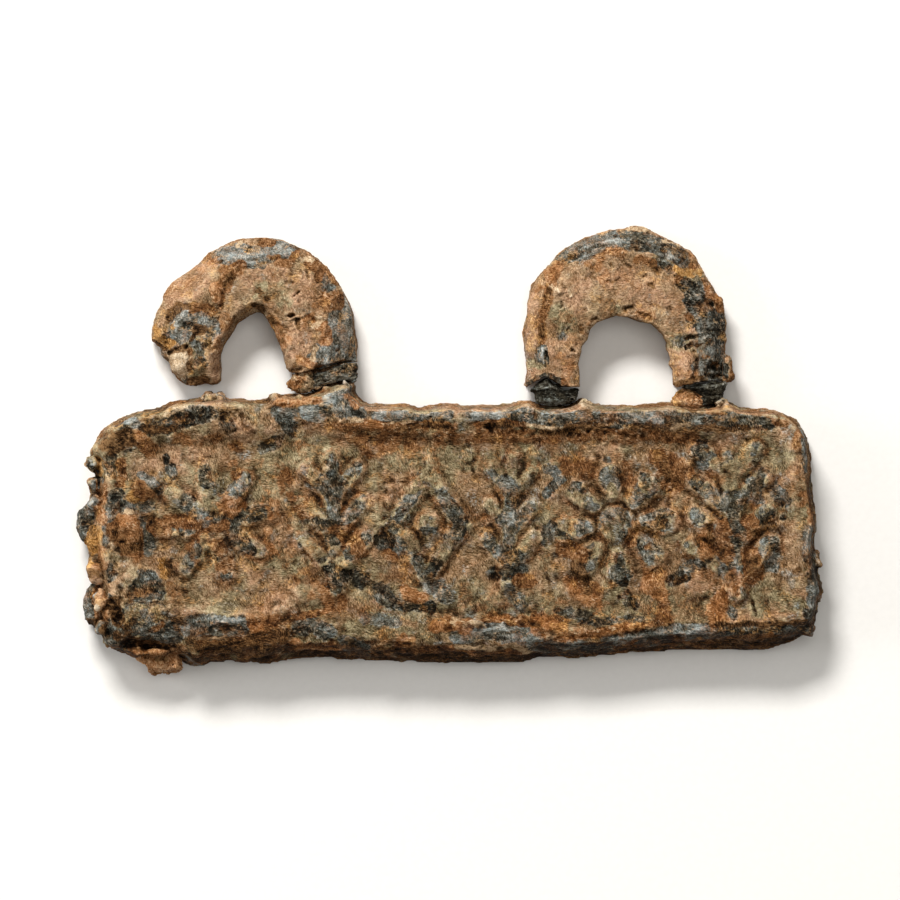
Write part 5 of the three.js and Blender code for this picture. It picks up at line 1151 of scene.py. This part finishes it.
# ---------------------------------------------------------------- materials
def srgb(r, g, b):
    def lin(c):
        c /= 255.0
        return c / 12.92 if c <= 0.04045 else ((c + 0.055) / 1.055) ** 2.4
    return (lin(r), lin(g), lin(b), 1.0)


class Tree:
    """Short names for building a material's nodes."""

    def __init__(self, name):
        self.mat = bpy.data.materials.new(name)
        self.mat.use_nodes = True
        self.t = self.mat.node_tree
        self.t.nodes.clear()

    def node(self, kind, **values):
        n = self.t.nodes.new(kind)
        for key, value in values.items():
            setattr(n, key, value)
        return n

    def link(self, a, b):
        self.t.links.new(a, b)

    def put(self, socket, value):
        if isinstance(value, (int, float, tuple)):
            socket.default_value = value
        else:
            self.link(value, socket)

    def math(self, op, a, b=0.0, clamp=False):
        n = self.node("ShaderNodeMath", operation=op, use_clamp=clamp)
        self.put(n.inputs[0], a)
        self.put(n.inputs[1], b)
        return n.outputs[0]

    def sum(self, first, *terms):
        """first + amount * (value - middle) for each (value, middle, amount)."""
        total = first
        for value, middle, amount in terms:
            n = self.node("ShaderNodeMath", operation="MULTIPLY_ADD")
            self.put(n.inputs[0], value)
            n.inputs[1].default_value = amount
            n.inputs[2].default_value = -middle * amount
            total = self.math("ADD", total, n.outputs[0])
        return total

    def drawn_out(self, coords, turn, factors):
        """Coordinates turned about z and then scaled by axis, for a texture drawn out one way."""
        m = self.node("ShaderNodeMapping")
        self.link(coords, m.inputs["Vector"])
        m.inputs["Rotation"].default_value = (0.0, 0.0, turn)
        v = self.node("ShaderNodeVectorMath", operation="MULTIPLY")
        self.link(m.outputs[0], v.inputs[0])
        v.inputs[1].default_value = factors
        return v.outputs[0]

    def blend(self, factor, a, b):
        """a and b mixed as plain numbers."""
        n = self.node("ShaderNodeMix", data_type="FLOAT")
        self.put(n.inputs["Factor"], factor)
        self.put(n.inputs[2], a)
        self.put(n.inputs[3], b)
        return n.outputs[0]

    def noise(self, coords, scale, detail=3.0, rough=0.55, distortion=0.0):
        n = self.node("ShaderNodeTexNoise")
        self.link(coords, n.inputs["Vector"])
        n.inputs["Scale"].default_value = scale
        n.inputs["Detail"].default_value = detail
        n.inputs["Roughness"].default_value = rough
        n.inputs["Distortion"].default_value = distortion
        return n.outputs[0]

    def cell(self, coords, scale, feature="F1"):
        n = self.node("ShaderNodeTexVoronoi", feature=feature)
        self.link(coords, n.inputs["Vector"])
        n.inputs["Scale"].default_value = scale
        return n.outputs

    def step(self, value, low, high):
        n = self.node("ShaderNodeMapRange", interpolation_type="SMOOTHSTEP")
        self.put(n.inputs["Value"], value)
        n.inputs["From Min"].default_value = low
        n.inputs["From Max"].default_value = high
        return n.outputs["Result"]

    def mix(self, factor, a, b, blend="MIX"):
        n = self.node("ShaderNodeMix", data_type="RGBA", blend_type=blend)
        self.put(n.inputs["Factor"], factor)
        self.put(n.inputs[6], a)
        self.put(n.inputs[7], b)
        return n.outputs[2]

    def part(self, colour, channel):
        n = self.node("ShaderNodeSeparateColor")
        self.link(colour, n.inputs[0])
        return n.outputs[channel]

    def ramp(self, value, stops):
        n = self.node("ShaderNodeValToRGB")
        self.put(n.inputs[0], value)
        e = n.color_ramp.elements
        while len(e) > 1:
            e.remove(e[0])
        e[0].position, e[0].color = stops[0]
        for pos, col in stops[1:]:
            k = e.new(pos)
            k.color = col
        return n.outputs[0]


def lead_material(name, metal_tone=0.43, film_share=0.18, grains=1.0):
    """Crusted lead. metal_tone is how light its bare metal is, film_share how much soil still clings to that, grains how
    much of the stuck grains shows."""
    t = Tree(name)
    tc = t.node("ShaderNodeTexCoord")
    scale = t.node("ShaderNodeVectorMath", operation="SCALE")
    t.link(tc.outputs["Object"], scale.inputs[0])
    scale.inputs["Scale"].default_value = 1000.0  # to mm
    p = scale.outputs[0]

    def masks(key):
        a = t.node("ShaderNodeAttribute", attribute_name=key)
        s = t.node("ShaderNodeSeparateColor")
        t.link(a.outputs["Color"], s.inputs[0])
        return s.outputs

    lead_m, dark_m, rust_m = masks("of_a")
    orange_m, cream_m, olive_m = masks("of_b")
    fine_c, wide_c, streak = masks("of_c")
    ochre_m, pit_m, thick = masks("of_d")
    pale_m, umber_m, tan_m = masks("of_e")

    grit = t.noise(p, 4.6, 4.0, 0.68)      # 0.2 mm down
    lie = t.step(t.noise(p, 0.55, 2.0, 0.6), 0.46, 0.54)
    grain = t.blend(lie, t.noise(t.drawn_out(p, 0.12, (0.50, 1.5, 1.0)), 8.8, 2.0, 0.66),
                    t.noise(t.drawn_out(p, -0.30, (1.5, 0.50, 1.0)), 8.8, 2.0, 0.66))  # 0.12 mm down
    mottle = t.noise(p, 1.5, 4.0, 0.6)
    tint = t.noise(p, 0.8, 3.0, 0.6)

    def thread(scale, wide):
        """Thin winding lines."""
        n = t.noise(p, scale, 2.0, 0.6, 1.1)
        return t.step(t.math("ABSOLUTE", t.math("SUBTRACT", n, 0.5)), wide, wide * 0.2)

    fibre = t.math("MAXIMUM", thread(2.3, 0.030), thread(3.7, 0.045))
    vein = thread(1.7, 0.030)

    # soil, from a thin brown film over dark metal to thick pale tan; its hollow terms make it darker in hollows and
    # lighter on bumps, partly dirt and partly painted shade and highlight
    s = t.sum(thick, (grit, 0.5, 0.48), (grain, 0.5, 1.30), (mottle, 0.5, 0.22), (fine_c, 0.5, -0.40), (wide_c, 0.5, -0.30),
              (fibre, 0.3, 0.10), (vein, 0.2, -0.10))
    soil = t.ramp(s, [
        (0.06, srgb(34, 20, 7)), (0.20, srgb(60, 41, 21)), (0.32, srgb(90, 67, 41)), (0.44, srgb(119, 93, 66)), (0.56, srgb(148, 119, 89)),
        (0.68, srgb(170, 140, 109)), (0.80, srgb(190, 158, 126)), (0.96, srgb(212, 180, 147)),
    ])
    pink = t.mix(1.0, soil, srgb(255, 246, 248), "MULTIPLY")
    soil = t.mix(t.step(t.sum(tan_m, (tint, 0.5, 2.2)), 0.0, 0.9), soil, pink)
    olive = t.ramp(s, [
        (0.06, srgb(25, 20, 9)), (0.20, srgb(50, 41, 24)), (0.32, srgb(77, 65, 43)), (0.44, srgb(101, 90, 65)), (0.56, srgb(129, 117, 89)),
        (0.68, srgb(152, 140, 109)), (0.80, srgb(171, 159, 126)), (0.96, srgb(198, 184, 152)),
    ])

    # bare metal, from black through olive grey to whitish blue grey; lighter on bumps and darker in hollows, partly
    # wear and partly painted highlight and shade
    shade = t.step(t.sum(pale_m, (grit, 0.5, 0.6)), 0.40, 0.62)
    gloom = t.step(t.sum(dark_m, (grit, 0.5, 0.5)), 0.46, 0.60)
    metal = t.sum(metal_tone, (grit, 0.5, 0.52), (grain, 0.5, 1.05), (streak, 0.5, 0.75), (mottle, 0.5, 0.40), (fine_c, 0.5, -0.55),
                  (wide_c, 0.5, -0.30), (shade, 0.0, 0.15), (gloom, 0.0, -0.20), (fibre, 0.3, 0.10))
    lead = t.ramp(metal, [
        (0.06, srgb(11, 9, 5)), (0.18, srgb(30, 27, 20)), (0.29, srgb(53, 50, 42)), (0.39, srgb(77, 75, 66)), (0.49, srgb(100, 100, 92)),
        (0.60, srgb(126, 127, 121)), (0.73, srgb(158, 158, 151)), (0.90, srgb(200, 198, 190)),
    ])
    blue = t.mix(1.0, lead, srgb(238, 248, 255), "MULTIPLY")
    lead = t.mix(t.step(tint, 0.42, 0.58), lead, blue)
    rust = t.ramp(s, [
        (0.10, srgb(28, 13, 3)), (0.26, srgb(50, 26, 9)), (0.41, srgb(76, 45, 21)), (0.56, srgb(103, 67, 37)), (0.70, srgb(131, 91, 56)),
        (0.86, srgb(160, 120, 84)), (1.0, srgb(184, 148, 114)),
    ])
    umber = t.ramp(s, [
        (0.16, srgb(8, 3, 1)), (0.33, srgb(24, 13, 4)), (0.47, srgb(52, 33, 15)), (0.61, srgb(86, 58, 32)), (0.82, srgb(126, 94, 60)),
    ])
    orange = t.ramp(s, [
        (0.12, srgb(58, 29, 9)), (0.33, srgb(93, 54, 23)), (0.54, srgb(132, 86, 48)), (0.70, srgb(163, 115, 75)), (0.90, srgb(195, 152, 113)),
    ])
    ochre = t.ramp(s, [
        (0.10, srgb(58, 34, 10)), (0.30, srgb(100, 66, 28)), (0.50, srgb(148, 105, 55)), (0.68, srgb(190, 143, 84)), (0.86, srgb(216, 172, 114)),
    ])
    cream = t.ramp(s, [
        (0.10, srgb(100, 78, 50)), (0.34, srgb(142, 116, 84)), (0.56, srgb(178, 150, 117)), (0.76, srgb(208, 184, 151)), (0.96, srgb(236, 218, 190)),
    ])

    def claimed(mask, amount_grit, amount_grain, low, high):
        """A kind's share of a point: its mask, broken up by grit."""
        v = t.sum(mask, (grit, 0.5, amount_grit), (grain, 0.5, amount_grain))
        return t.step(v, 0.5 + low, 0.5 + high)

    film = t.step(t.noise(p, 2.2, 5.0, 0.68), 0.42, 0.62)
    k_olive = claimed(olive_m, 0.3, 0.1, -0.24, 0.22)
    col = t.mix(k_olive, soil, olive)
    metal_m = t.math("MAXIMUM", lead_m, dark_m)
    edge = claimed(metal_m, 0.45, 0.1, -0.20, 0.02)
    col = t.mix(t.math("MULTIPLY", edge, 0.50), col, t.mix(1.0, col, srgb(178, 160, 134), "MULTIPLY"))
    k_lead = claimed(metal_m, 0.44, 0.22, -0.08, 0.10)
    thin_film = t.math("MULTIPLY", film, t.sum(film_share, (gloom, 0.0, -0.88 * film_share), (k_olive, 0.0, 1.2 * film_share)))
    cover = t.math("MULTIPLY", k_lead, t.math("SUBTRACT", 1.0, thin_film))
    col = t.mix(cover, col, lead)
    col = t.mix(t.math("MULTIPLY", claimed(rust_m, 0.36, 0.10, -0.16, 0.14), 0.95), col, rust)
    col = t.mix(t.math("MULTIPLY", claimed(orange_m, 0.42, 0.2, -0.13, 0.14), 0.84), col, orange)
    col = t.mix(t.math("MULTIPLY", claimed(ochre_m, 0.42, 0.2, -0.10, 0.12), 0.9), col, ochre)
    col = t.mix(t.math("MULTIPLY", claimed(cream_m, 0.42, 0.2, -0.09, 0.11), 0.9), col, cream)
    col = t.mix(t.math("MULTIPLY", claimed(umber_m, 0.36, 0.16, -0.12, 0.12), 0.93), col, umber)

    # separate grains of other colours
    for size, rows in ((3.3, [(0, 0.92, (60, 42, 24), 0.5), (1, 0.97, (206, 178, 146), 0.35), (2, 0.94, (100, 62, 34), 0.5)]),
                       (6.2, [(0, 0.82, (54, 40, 24), 0.55), (1, 0.94, (208, 182, 150), 0.30), (2, 0.95, (126, 120, 106), 0.35)])):
        c = t.cell(p, size)
        near = t.step(c["Distance"], 0.36, 0.16)
        for channel, most, colour, share in rows:
            k = t.math("MULTIPLY", near, t.step(t.part(c["Color"], channel), most, most + 0.03))
            col = t.mix(t.math("MULTIPLY", k, share * grains), col, srgb(*colour))

    # darker in fine hollows and pits: partly dirt, partly painted shade
    deep = t.step(fine_c, 0.54, 0.86)
    col = t.mix(t.math("MULTIPLY", deep, 0.60), col, t.mix(1.0, col, srgb(128, 104, 80), "MULTIPLY"))
    col = t.mix(t.math("MULTIPLY", t.step(pit_m, 0.3, 0.9), 0.45), col, t.mix(1.0, col, srgb(120, 96, 70), "MULTIPLY"))

    bsdf = t.node("ShaderNodeBsdfPrincipled")
    out = t.node("ShaderNodeOutputMaterial")
    t.link(bsdf.outputs[0], out.inputs["Surface"])
    t.link(col, bsdf.inputs["Base Color"])
    rough = t.sum(0.90, (k_lead, 0.0, -0.28), (grit, 0.5, 0.3))
    t.link(t.math("MINIMUM", rough, 1.0), bsdf.inputs["Roughness"])
    bsdf.inputs["Specular IOR Level"].default_value = 0.05

    crumb = t.cell(p, 4.4)
    clod = t.step(crumb["Distance"], 0.62, 0.1)
    height = t.sum(0.5, (grit, 0.5, 0.9), (grain, 0.5, 0.6), (clod, 0.5, 0.12), (k_lead, 0.0, -0.10), (streak, 0.5, 0.2))
    bm = t.node("ShaderNodeBump")
    bm.inputs["Strength"].default_value = 1.0
    bm.inputs["Distance"].default_value = 0.00021
    t.link(height, bm.inputs["Height"])
    t.link(bm.outputs[0], bsdf.inputs["Normal"])
    return t.mat


# ---------------------------------------------------------------- build
H_TABLET, H_LOOP, H_SMALL = 0.12, 0.082, 0.055
LEAD = lead_material("crusted_lead")
BLACK_LEAD = lead_material("black_lead", 0.35, 0.06, 0.35)

PIECES = []


def finish_piece(name, field, low, h, seed, slot, flat_back=False, **weathering):
    verts, faces = surface(field, low, h)
    verts, faces = without_clumps(*biggest_part(verts, faces))
    verts, masks = weather(name, verts, faces, seed, **weathering)
    obj = to_object(name + "_surface", verts, faces, masks, BLACK_LEAD if slot == "dark_lead" else LEAD)
    if flat_back:  # the back is flat and plain, so it needs far fewer faces
        group = obj.vertex_groups.new(name="back")
        back = np.nonzero(verts[:, 2] < 0.03)[0]
        group.add([int(i) for i in back], 1.0, "REPLACE")
        thin = obj.modifiers.new("back_thinned", "DECIMATE")
        share = len(back) / len(verts)
        thin.ratio = 1 - share * 0.86
        thin.vertex_group = "back"
        thin.vertex_group_factor = 10.0
        apply_modifiers(obj)
        obj.vertex_groups.clear()
        count = sum(len(f.vertices) - 2 for f in obj.data.polygons)
        if count > 196000:
            thin = obj.modifiers.new("all_thinned", "DECIMATE")
            thin.ratio = 196000 / count
            apply_modifiers(obj)
    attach(obj, "root")
    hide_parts(name)
    PIECES.append(obj)
    return obj


def apply_modifiers(obj):
    dg = bpy.context.evaluated_depsgraph_get()
    me = bpy.data.meshes.new_from_object(obj.evaluated_get(dg), depsgraph=dg)
    old = obj.data
    obj.modifiers.clear()
    obj.data = me
    bpy.data.meshes.remove(old)


field, low = tablet_field(H_TABLET)
finish_piece("tablet", field, low, H_TABLET, 1000, "tablet_lead", flat_back=True, figures_at=figures, soil=0.528)

SANDY = {"lead": 0.0, "dark": 0.0, "rust": 0.02, "olive": 0.0, "tan": 0.65, "orange": 0.01}
left_ring = LEFT_LOOP_OUT + LEFT_LOOP_IN + LEFT_LOOP_END
field, low = loop_field(LEFT_LOOP_OUT, LEFT_LOOP_IN, left_ring, H_LOOP, 2000, LEFT_RELIEF, inner=0.85)
finish_piece("left_loop", field, low, H_LOOP, 2000, "loop_lead", ground=SANDY, soil=0.582, eye=(258, 348))

right_ring = RIGHT_LOOP_OUT + RIGHT_LOOP_END2 + RIGHT_LOOP_IN + RIGHT_LOOP_END1
field, low = loop_field(RIGHT_LOOP_OUT, RIGHT_LOOP_IN, right_ring, H_LOOP, 3000, RIGHT_RELIEF, inner=0.26)
finish_piece("right_loop", field, low, H_LOOP, 3000, "loop_lead", ground=SANDY, soil=0.582, eye=(625, 350))

# Rings that differ from the plain outlines: feet reach into the hollows above and below them, and crusts hold on to what carries them.
LEFT_SLAB = [
    (311, 372), (318, 369), (326, 366.5), (336, 363.5), (347, 362.5), (357.6, 362.4), (358.6, 370), (358.2, 378),
    (355.4, 383), (347, 382), (339.4, 381.5), (331, 384), (323, 388), (313, 391),
]
BLACK_LAYER = [
    (530, 391), (533, 386), (537, 383), (541, 379.5), (545, 377), (549, 378.5), (553, 381.5), (560, 386.6), (563, 390), (561, 393.5),
    (548, 394.5), (535, 394),
]
GREY_LAYER = [
    (533.6, 394), (540, 392.5), (552, 392), (562, 390.6), (570, 388.8), (578.4, 388.2), (579, 393), (577.8, 398), (574.6, 402),
    (568, 405), (556, 406.5), (544, 405), (536, 401.5),
]
RIGHT_FOOT = [
    (681, 387), (691, 384.4), (702, 383), (713, 381.8), (725, 381.2), (726, 385), (724.6, 389), (723, 393), (723.6, 398),
    (721, 402), (716.4, 405), (702.2, 405.6), (699, 396), (690.6, 391.4),
]
RIGHT_CRUMB = [(674.2, 400.8), (676, 395.6), (679.8, 391.4), (689.8, 390.8), (702, 393), (704, 404.6), (686, 406), (676, 404.4)]
LEFT_CRUMB = [(293.4, 375.6), (297, 372.6), (302, 371.8), (312, 371), (314, 388), (304, 392), (296.4, 391), (290.6, 386.4), (291.4, 381)]
SCAB = [(723, 355), (727, 355), (731, 358.4), (731.6, 364), (731.8, 369), (733.4, 375.2), (730.6, 381.4), (724, 382), (721, 372)]
STUMP = [(201, 402), (204, 394.4), (206.6, 391.4), (210.8, 391.6), (214.4, 394.6), (218, 392.9), (221, 392.8), (225, 398), (224, 403)]
FLAKE = [
    (134, 650), (137, 659), (140, 662.4), (146.8, 662.6), (148, 669), (152, 672.4), (157, 672.8), (168, 672.4),
    (178, 671.6), (180.6, 669.6), (182, 663.6), (178, 654), (160, 646), (144, 644),
]
UPPER_EDGE = [(94, 497), (87, 502), (80.5, 510), (76.8, 520), (77.2, 529), (80, 537), (84, 543), (92, 549), (101, 546), (104, 520), (101, 500)]
LOWER_EDGE = [(94, 582), (87, 589), (84.4, 600), (83.4, 611), (85, 619), (90, 625), (98, 629), (105, 618), (105, 600), (101, 586)]

for name, rings, slot, ground, how in [
    ("left_loop_foot_slab", [(LEFT_SLAB, 0.0, 3.0)], "grey_lead", {"lead": 1.1, "dark": 0.6, "pale": 0.25, "olive": 0.5, "cream": 0.02, "rust": -0.2, "orange": -0.2},
     dict(strata=0.08, rough=0.07, lean=-0.22, edge=0.10)),
    ("left_foot_crumb", [(LEFT_CRUMB, 0.5, FOOT_FRONT - 0.1)], "rust_crust", {"orange": 0.55, "cream": 0.30, "rust": 0.2, "dark": 0.08},
     dict(strata=0.10, rough=0.26, edge=0.12, lean=0.5)),
    ("left_leg_stump", [(STUMP, 0.4, 2.3)], "tablet_lead", {"tan": 0.7, "cream": 0.3}, dict(rough=0.12, edge=0.25)),
    ("right_loop_left_foot", [(BLACK_LAYER, 0.0, FOOT_FRONT - 0.15), (GREY_LAYER, 0.0, FOOT_FRONT + 0.08)], "dark_lead",
     {"lead": 1.7, "dark": 0.30, "pale": 0.05, "ochre": -0.3, "rust": -0.3, "orange": -0.3, "cream": -0.3, "tan": -0.3, "umber": -0.4, "olive": 0.3}, dict(strata=0.09, rough=0.08, edge=0.10)),
    ("right_loop_right_foot", [(RIGHT_FOOT, 0.0, FOOT_FRONT)], "dark_lead", {"lead": 1.6, "dark": 0.42, "pale": 0.3, "ochre": -0.3, "rust": -0.3, "orange": -0.3, "cream": -0.3, "tan": -0.2, "umber": -0.2},
     dict(strata=0.09, rough=0.09, edge=0.12, lean=0.1)),
    ("right_foot_crumb", [(RIGHT_CRUMB, 0.5, FOOT_FRONT - 0.15)], "rust_crust", {"orange": 0.9, "ochre": 0.35, "rust": 0.15, "cream": -0.05},
     dict(strata=0.08, rough=0.26, edge=0.14, lean=0.3)),
    ("right_leg_scab", [(SCAB, 0.7, 2.9)], "soil_crust", {"orange": 0.35, "rust": 0.3, "tan": 0.4}, dict(rough=0.10, edge=0.25)),
    ("rust_flake", [(FLAKE, 0.3, 2.5)], "rust_crust", {"rust": 0.6, "orange": 1.1, "umber": 0.06}, dict(strata=0.03, rough=0.20, edge=0.25, lean=0.15)),
    ("upper_edge_lump", [(UPPER_EDGE, 0.3, 2.9)], "grey_lead", {"lead": 1.2, "dark": 0.45, "pale": 0.3, "rust": -0.2}, dict(rough=0.16, edge=0.5)),
    ("lower_edge_lump", [(LOWER_EDGE, 0.3, 3.1)], "grey_lead", {"lead": 1.1, "dark": 0.35, "pale": 0.3, "rust": -0.1}, dict(rough=0.16, edge=0.5)),
]:
    seed = 4000 + sum(map(ord, name))
    parts = [slab_field(ring, lo_z, hi_z, H_SMALL, seed, **how) for ring, lo_z, hi_z in rings]
    if len(parts) == 1:
        field, low = parts[0]
    else:
        field, low = join_fields(parts, H_SMALL)
    finish_piece(name, field, low, H_SMALL, seed, slot, ground=ground, soil=0.70 if name == "rust_flake" else 0.5)

for name, u, v, zc, ru, rv, rz, rough, slot, ground in [
    ("broken_end_crust", 186, 324, LOOP_FRONT - 0.42, 15, 24, 0.50, 0.14, "grey_lead", {"lead": 0.85, "pale": 0.45, "olive": 0.6, "rust": -0.2}),
    ("ochre_crust", 97, 538, 3.30, 9.5, 16, 0.70, 0.20, "ochre_crust", {"ochre": 0.8, "orange": 0.3, "umber": 0.1}),
    ("corner_lump", 149, 616, 3.72, 31, 21, 1.0, 0.22, "grey_lead", {"dark": 0.25, "lead": 0.18, "olive": 1.0, "rust": 0.10, "pale": 0.1, "umber": 0.1}),
]:
    seed = 4000 + sum(map(ord, name))
    field, low = lump_field(u, v, zc, ru, rv, rz, H_SMALL, seed, rough)
    finish_piece(name, field, low, H_SMALL, seed, slot, ground=ground, still_below=-1)


# ---------------------------------------------------------------- floor, light, camera
def floor_material():
    t = Tree("pale_floor")
    tc = t.node("ShaderNodeTexCoord")
    fine = t.noise(tc.outputs["Object"], 2400.0, 2.0, 0.5)
    col = t.ramp(fine, [(0.3, (0.735, 0.725, 0.705, 1)), (0.7, (0.755, 0.745, 0.725, 1))])
    bsdf = t.node("ShaderNodeBsdfPrincipled")
    out = t.node("ShaderNodeOutputMaterial")
    t.link(bsdf.outputs[0], out.inputs["Surface"])
    t.link(col, bsdf.inputs["Base Color"])
    bsdf.inputs["Roughness"].default_value = 0.8
    return t.mat


me = bpy.data.meshes.new("floor")
me.from_pydata([(-1.5, -1.5, -0.00002), (1.5, -1.5, -0.00002), (1.5, 1.5, -0.00002), (-1.5, 1.5, -0.00002)], [], [(0, 1, 2, 3)])
me.materials.append(floor_material())
floor = bpy.data.objects.new("floor", me)
bpy.context.scene.collection.objects.link(floor)


def area(name, place, size, power, tint=(1, 1, 1)):
    light = bpy.data.lights.new(name, "AREA")
    light.shape = "RECTANGLE"
    light.size, light.size_y = size
    light.energy = power
    light.color = tint
    obj = bpy.data.objects.new(name, light)
    obj.location = place
    obj.rotation_euler = (Vector((0, 0, 0)) - Vector(place)).to_track_quat("-Z", "Y").to_euler()
    bpy.context.scene.collection.objects.link(obj)


area("key", (-0.11, 0.30, 0.30), (0.14, 0.09), 2.6, (1.0, 0.98, 0.95))
area("fill", (0.10, 0.06, 0.60), (0.4, 0.4), 1.3, (1.0, 0.98, 0.94))
area("side", (-0.40, 0.05, 0.20), (0.2, 0.2), 0.75)

world = bpy.data.worlds.new("studio")
bpy.context.scene.world = world
world.use_nodes = True
world.node_tree.nodes["Background"].inputs["Color"].default_value = (1.0, 0.95, 0.88, 1)
world.node_tree.nodes["Background"].inputs["Strength"].default_value = 0.20
bpy.context.scene.view_settings.view_transform = "Standard"

cam = bpy.data.cameras.new("camera")
cam.sensor_width = 36.0
cam.sensor_fit = "HORIZONTAL"
reach = 0.55
cam.lens = 36.0 * (reach - 0.0015) / (900 * GRID * 0.001)
cam.clip_start, cam.clip_end = 0.05, 5.0
camera = bpy.data.objects.new("camera", cam)
camera.location = ((450.0 - CU) * GRID * 0.001, (CV - 450.0) * GRID * 0.001, reach)
camera.rotation_euler = (0, 0, 0)
bpy.context.scene.collection.objects.link(camera)
bpy.context.scene.camera = camera
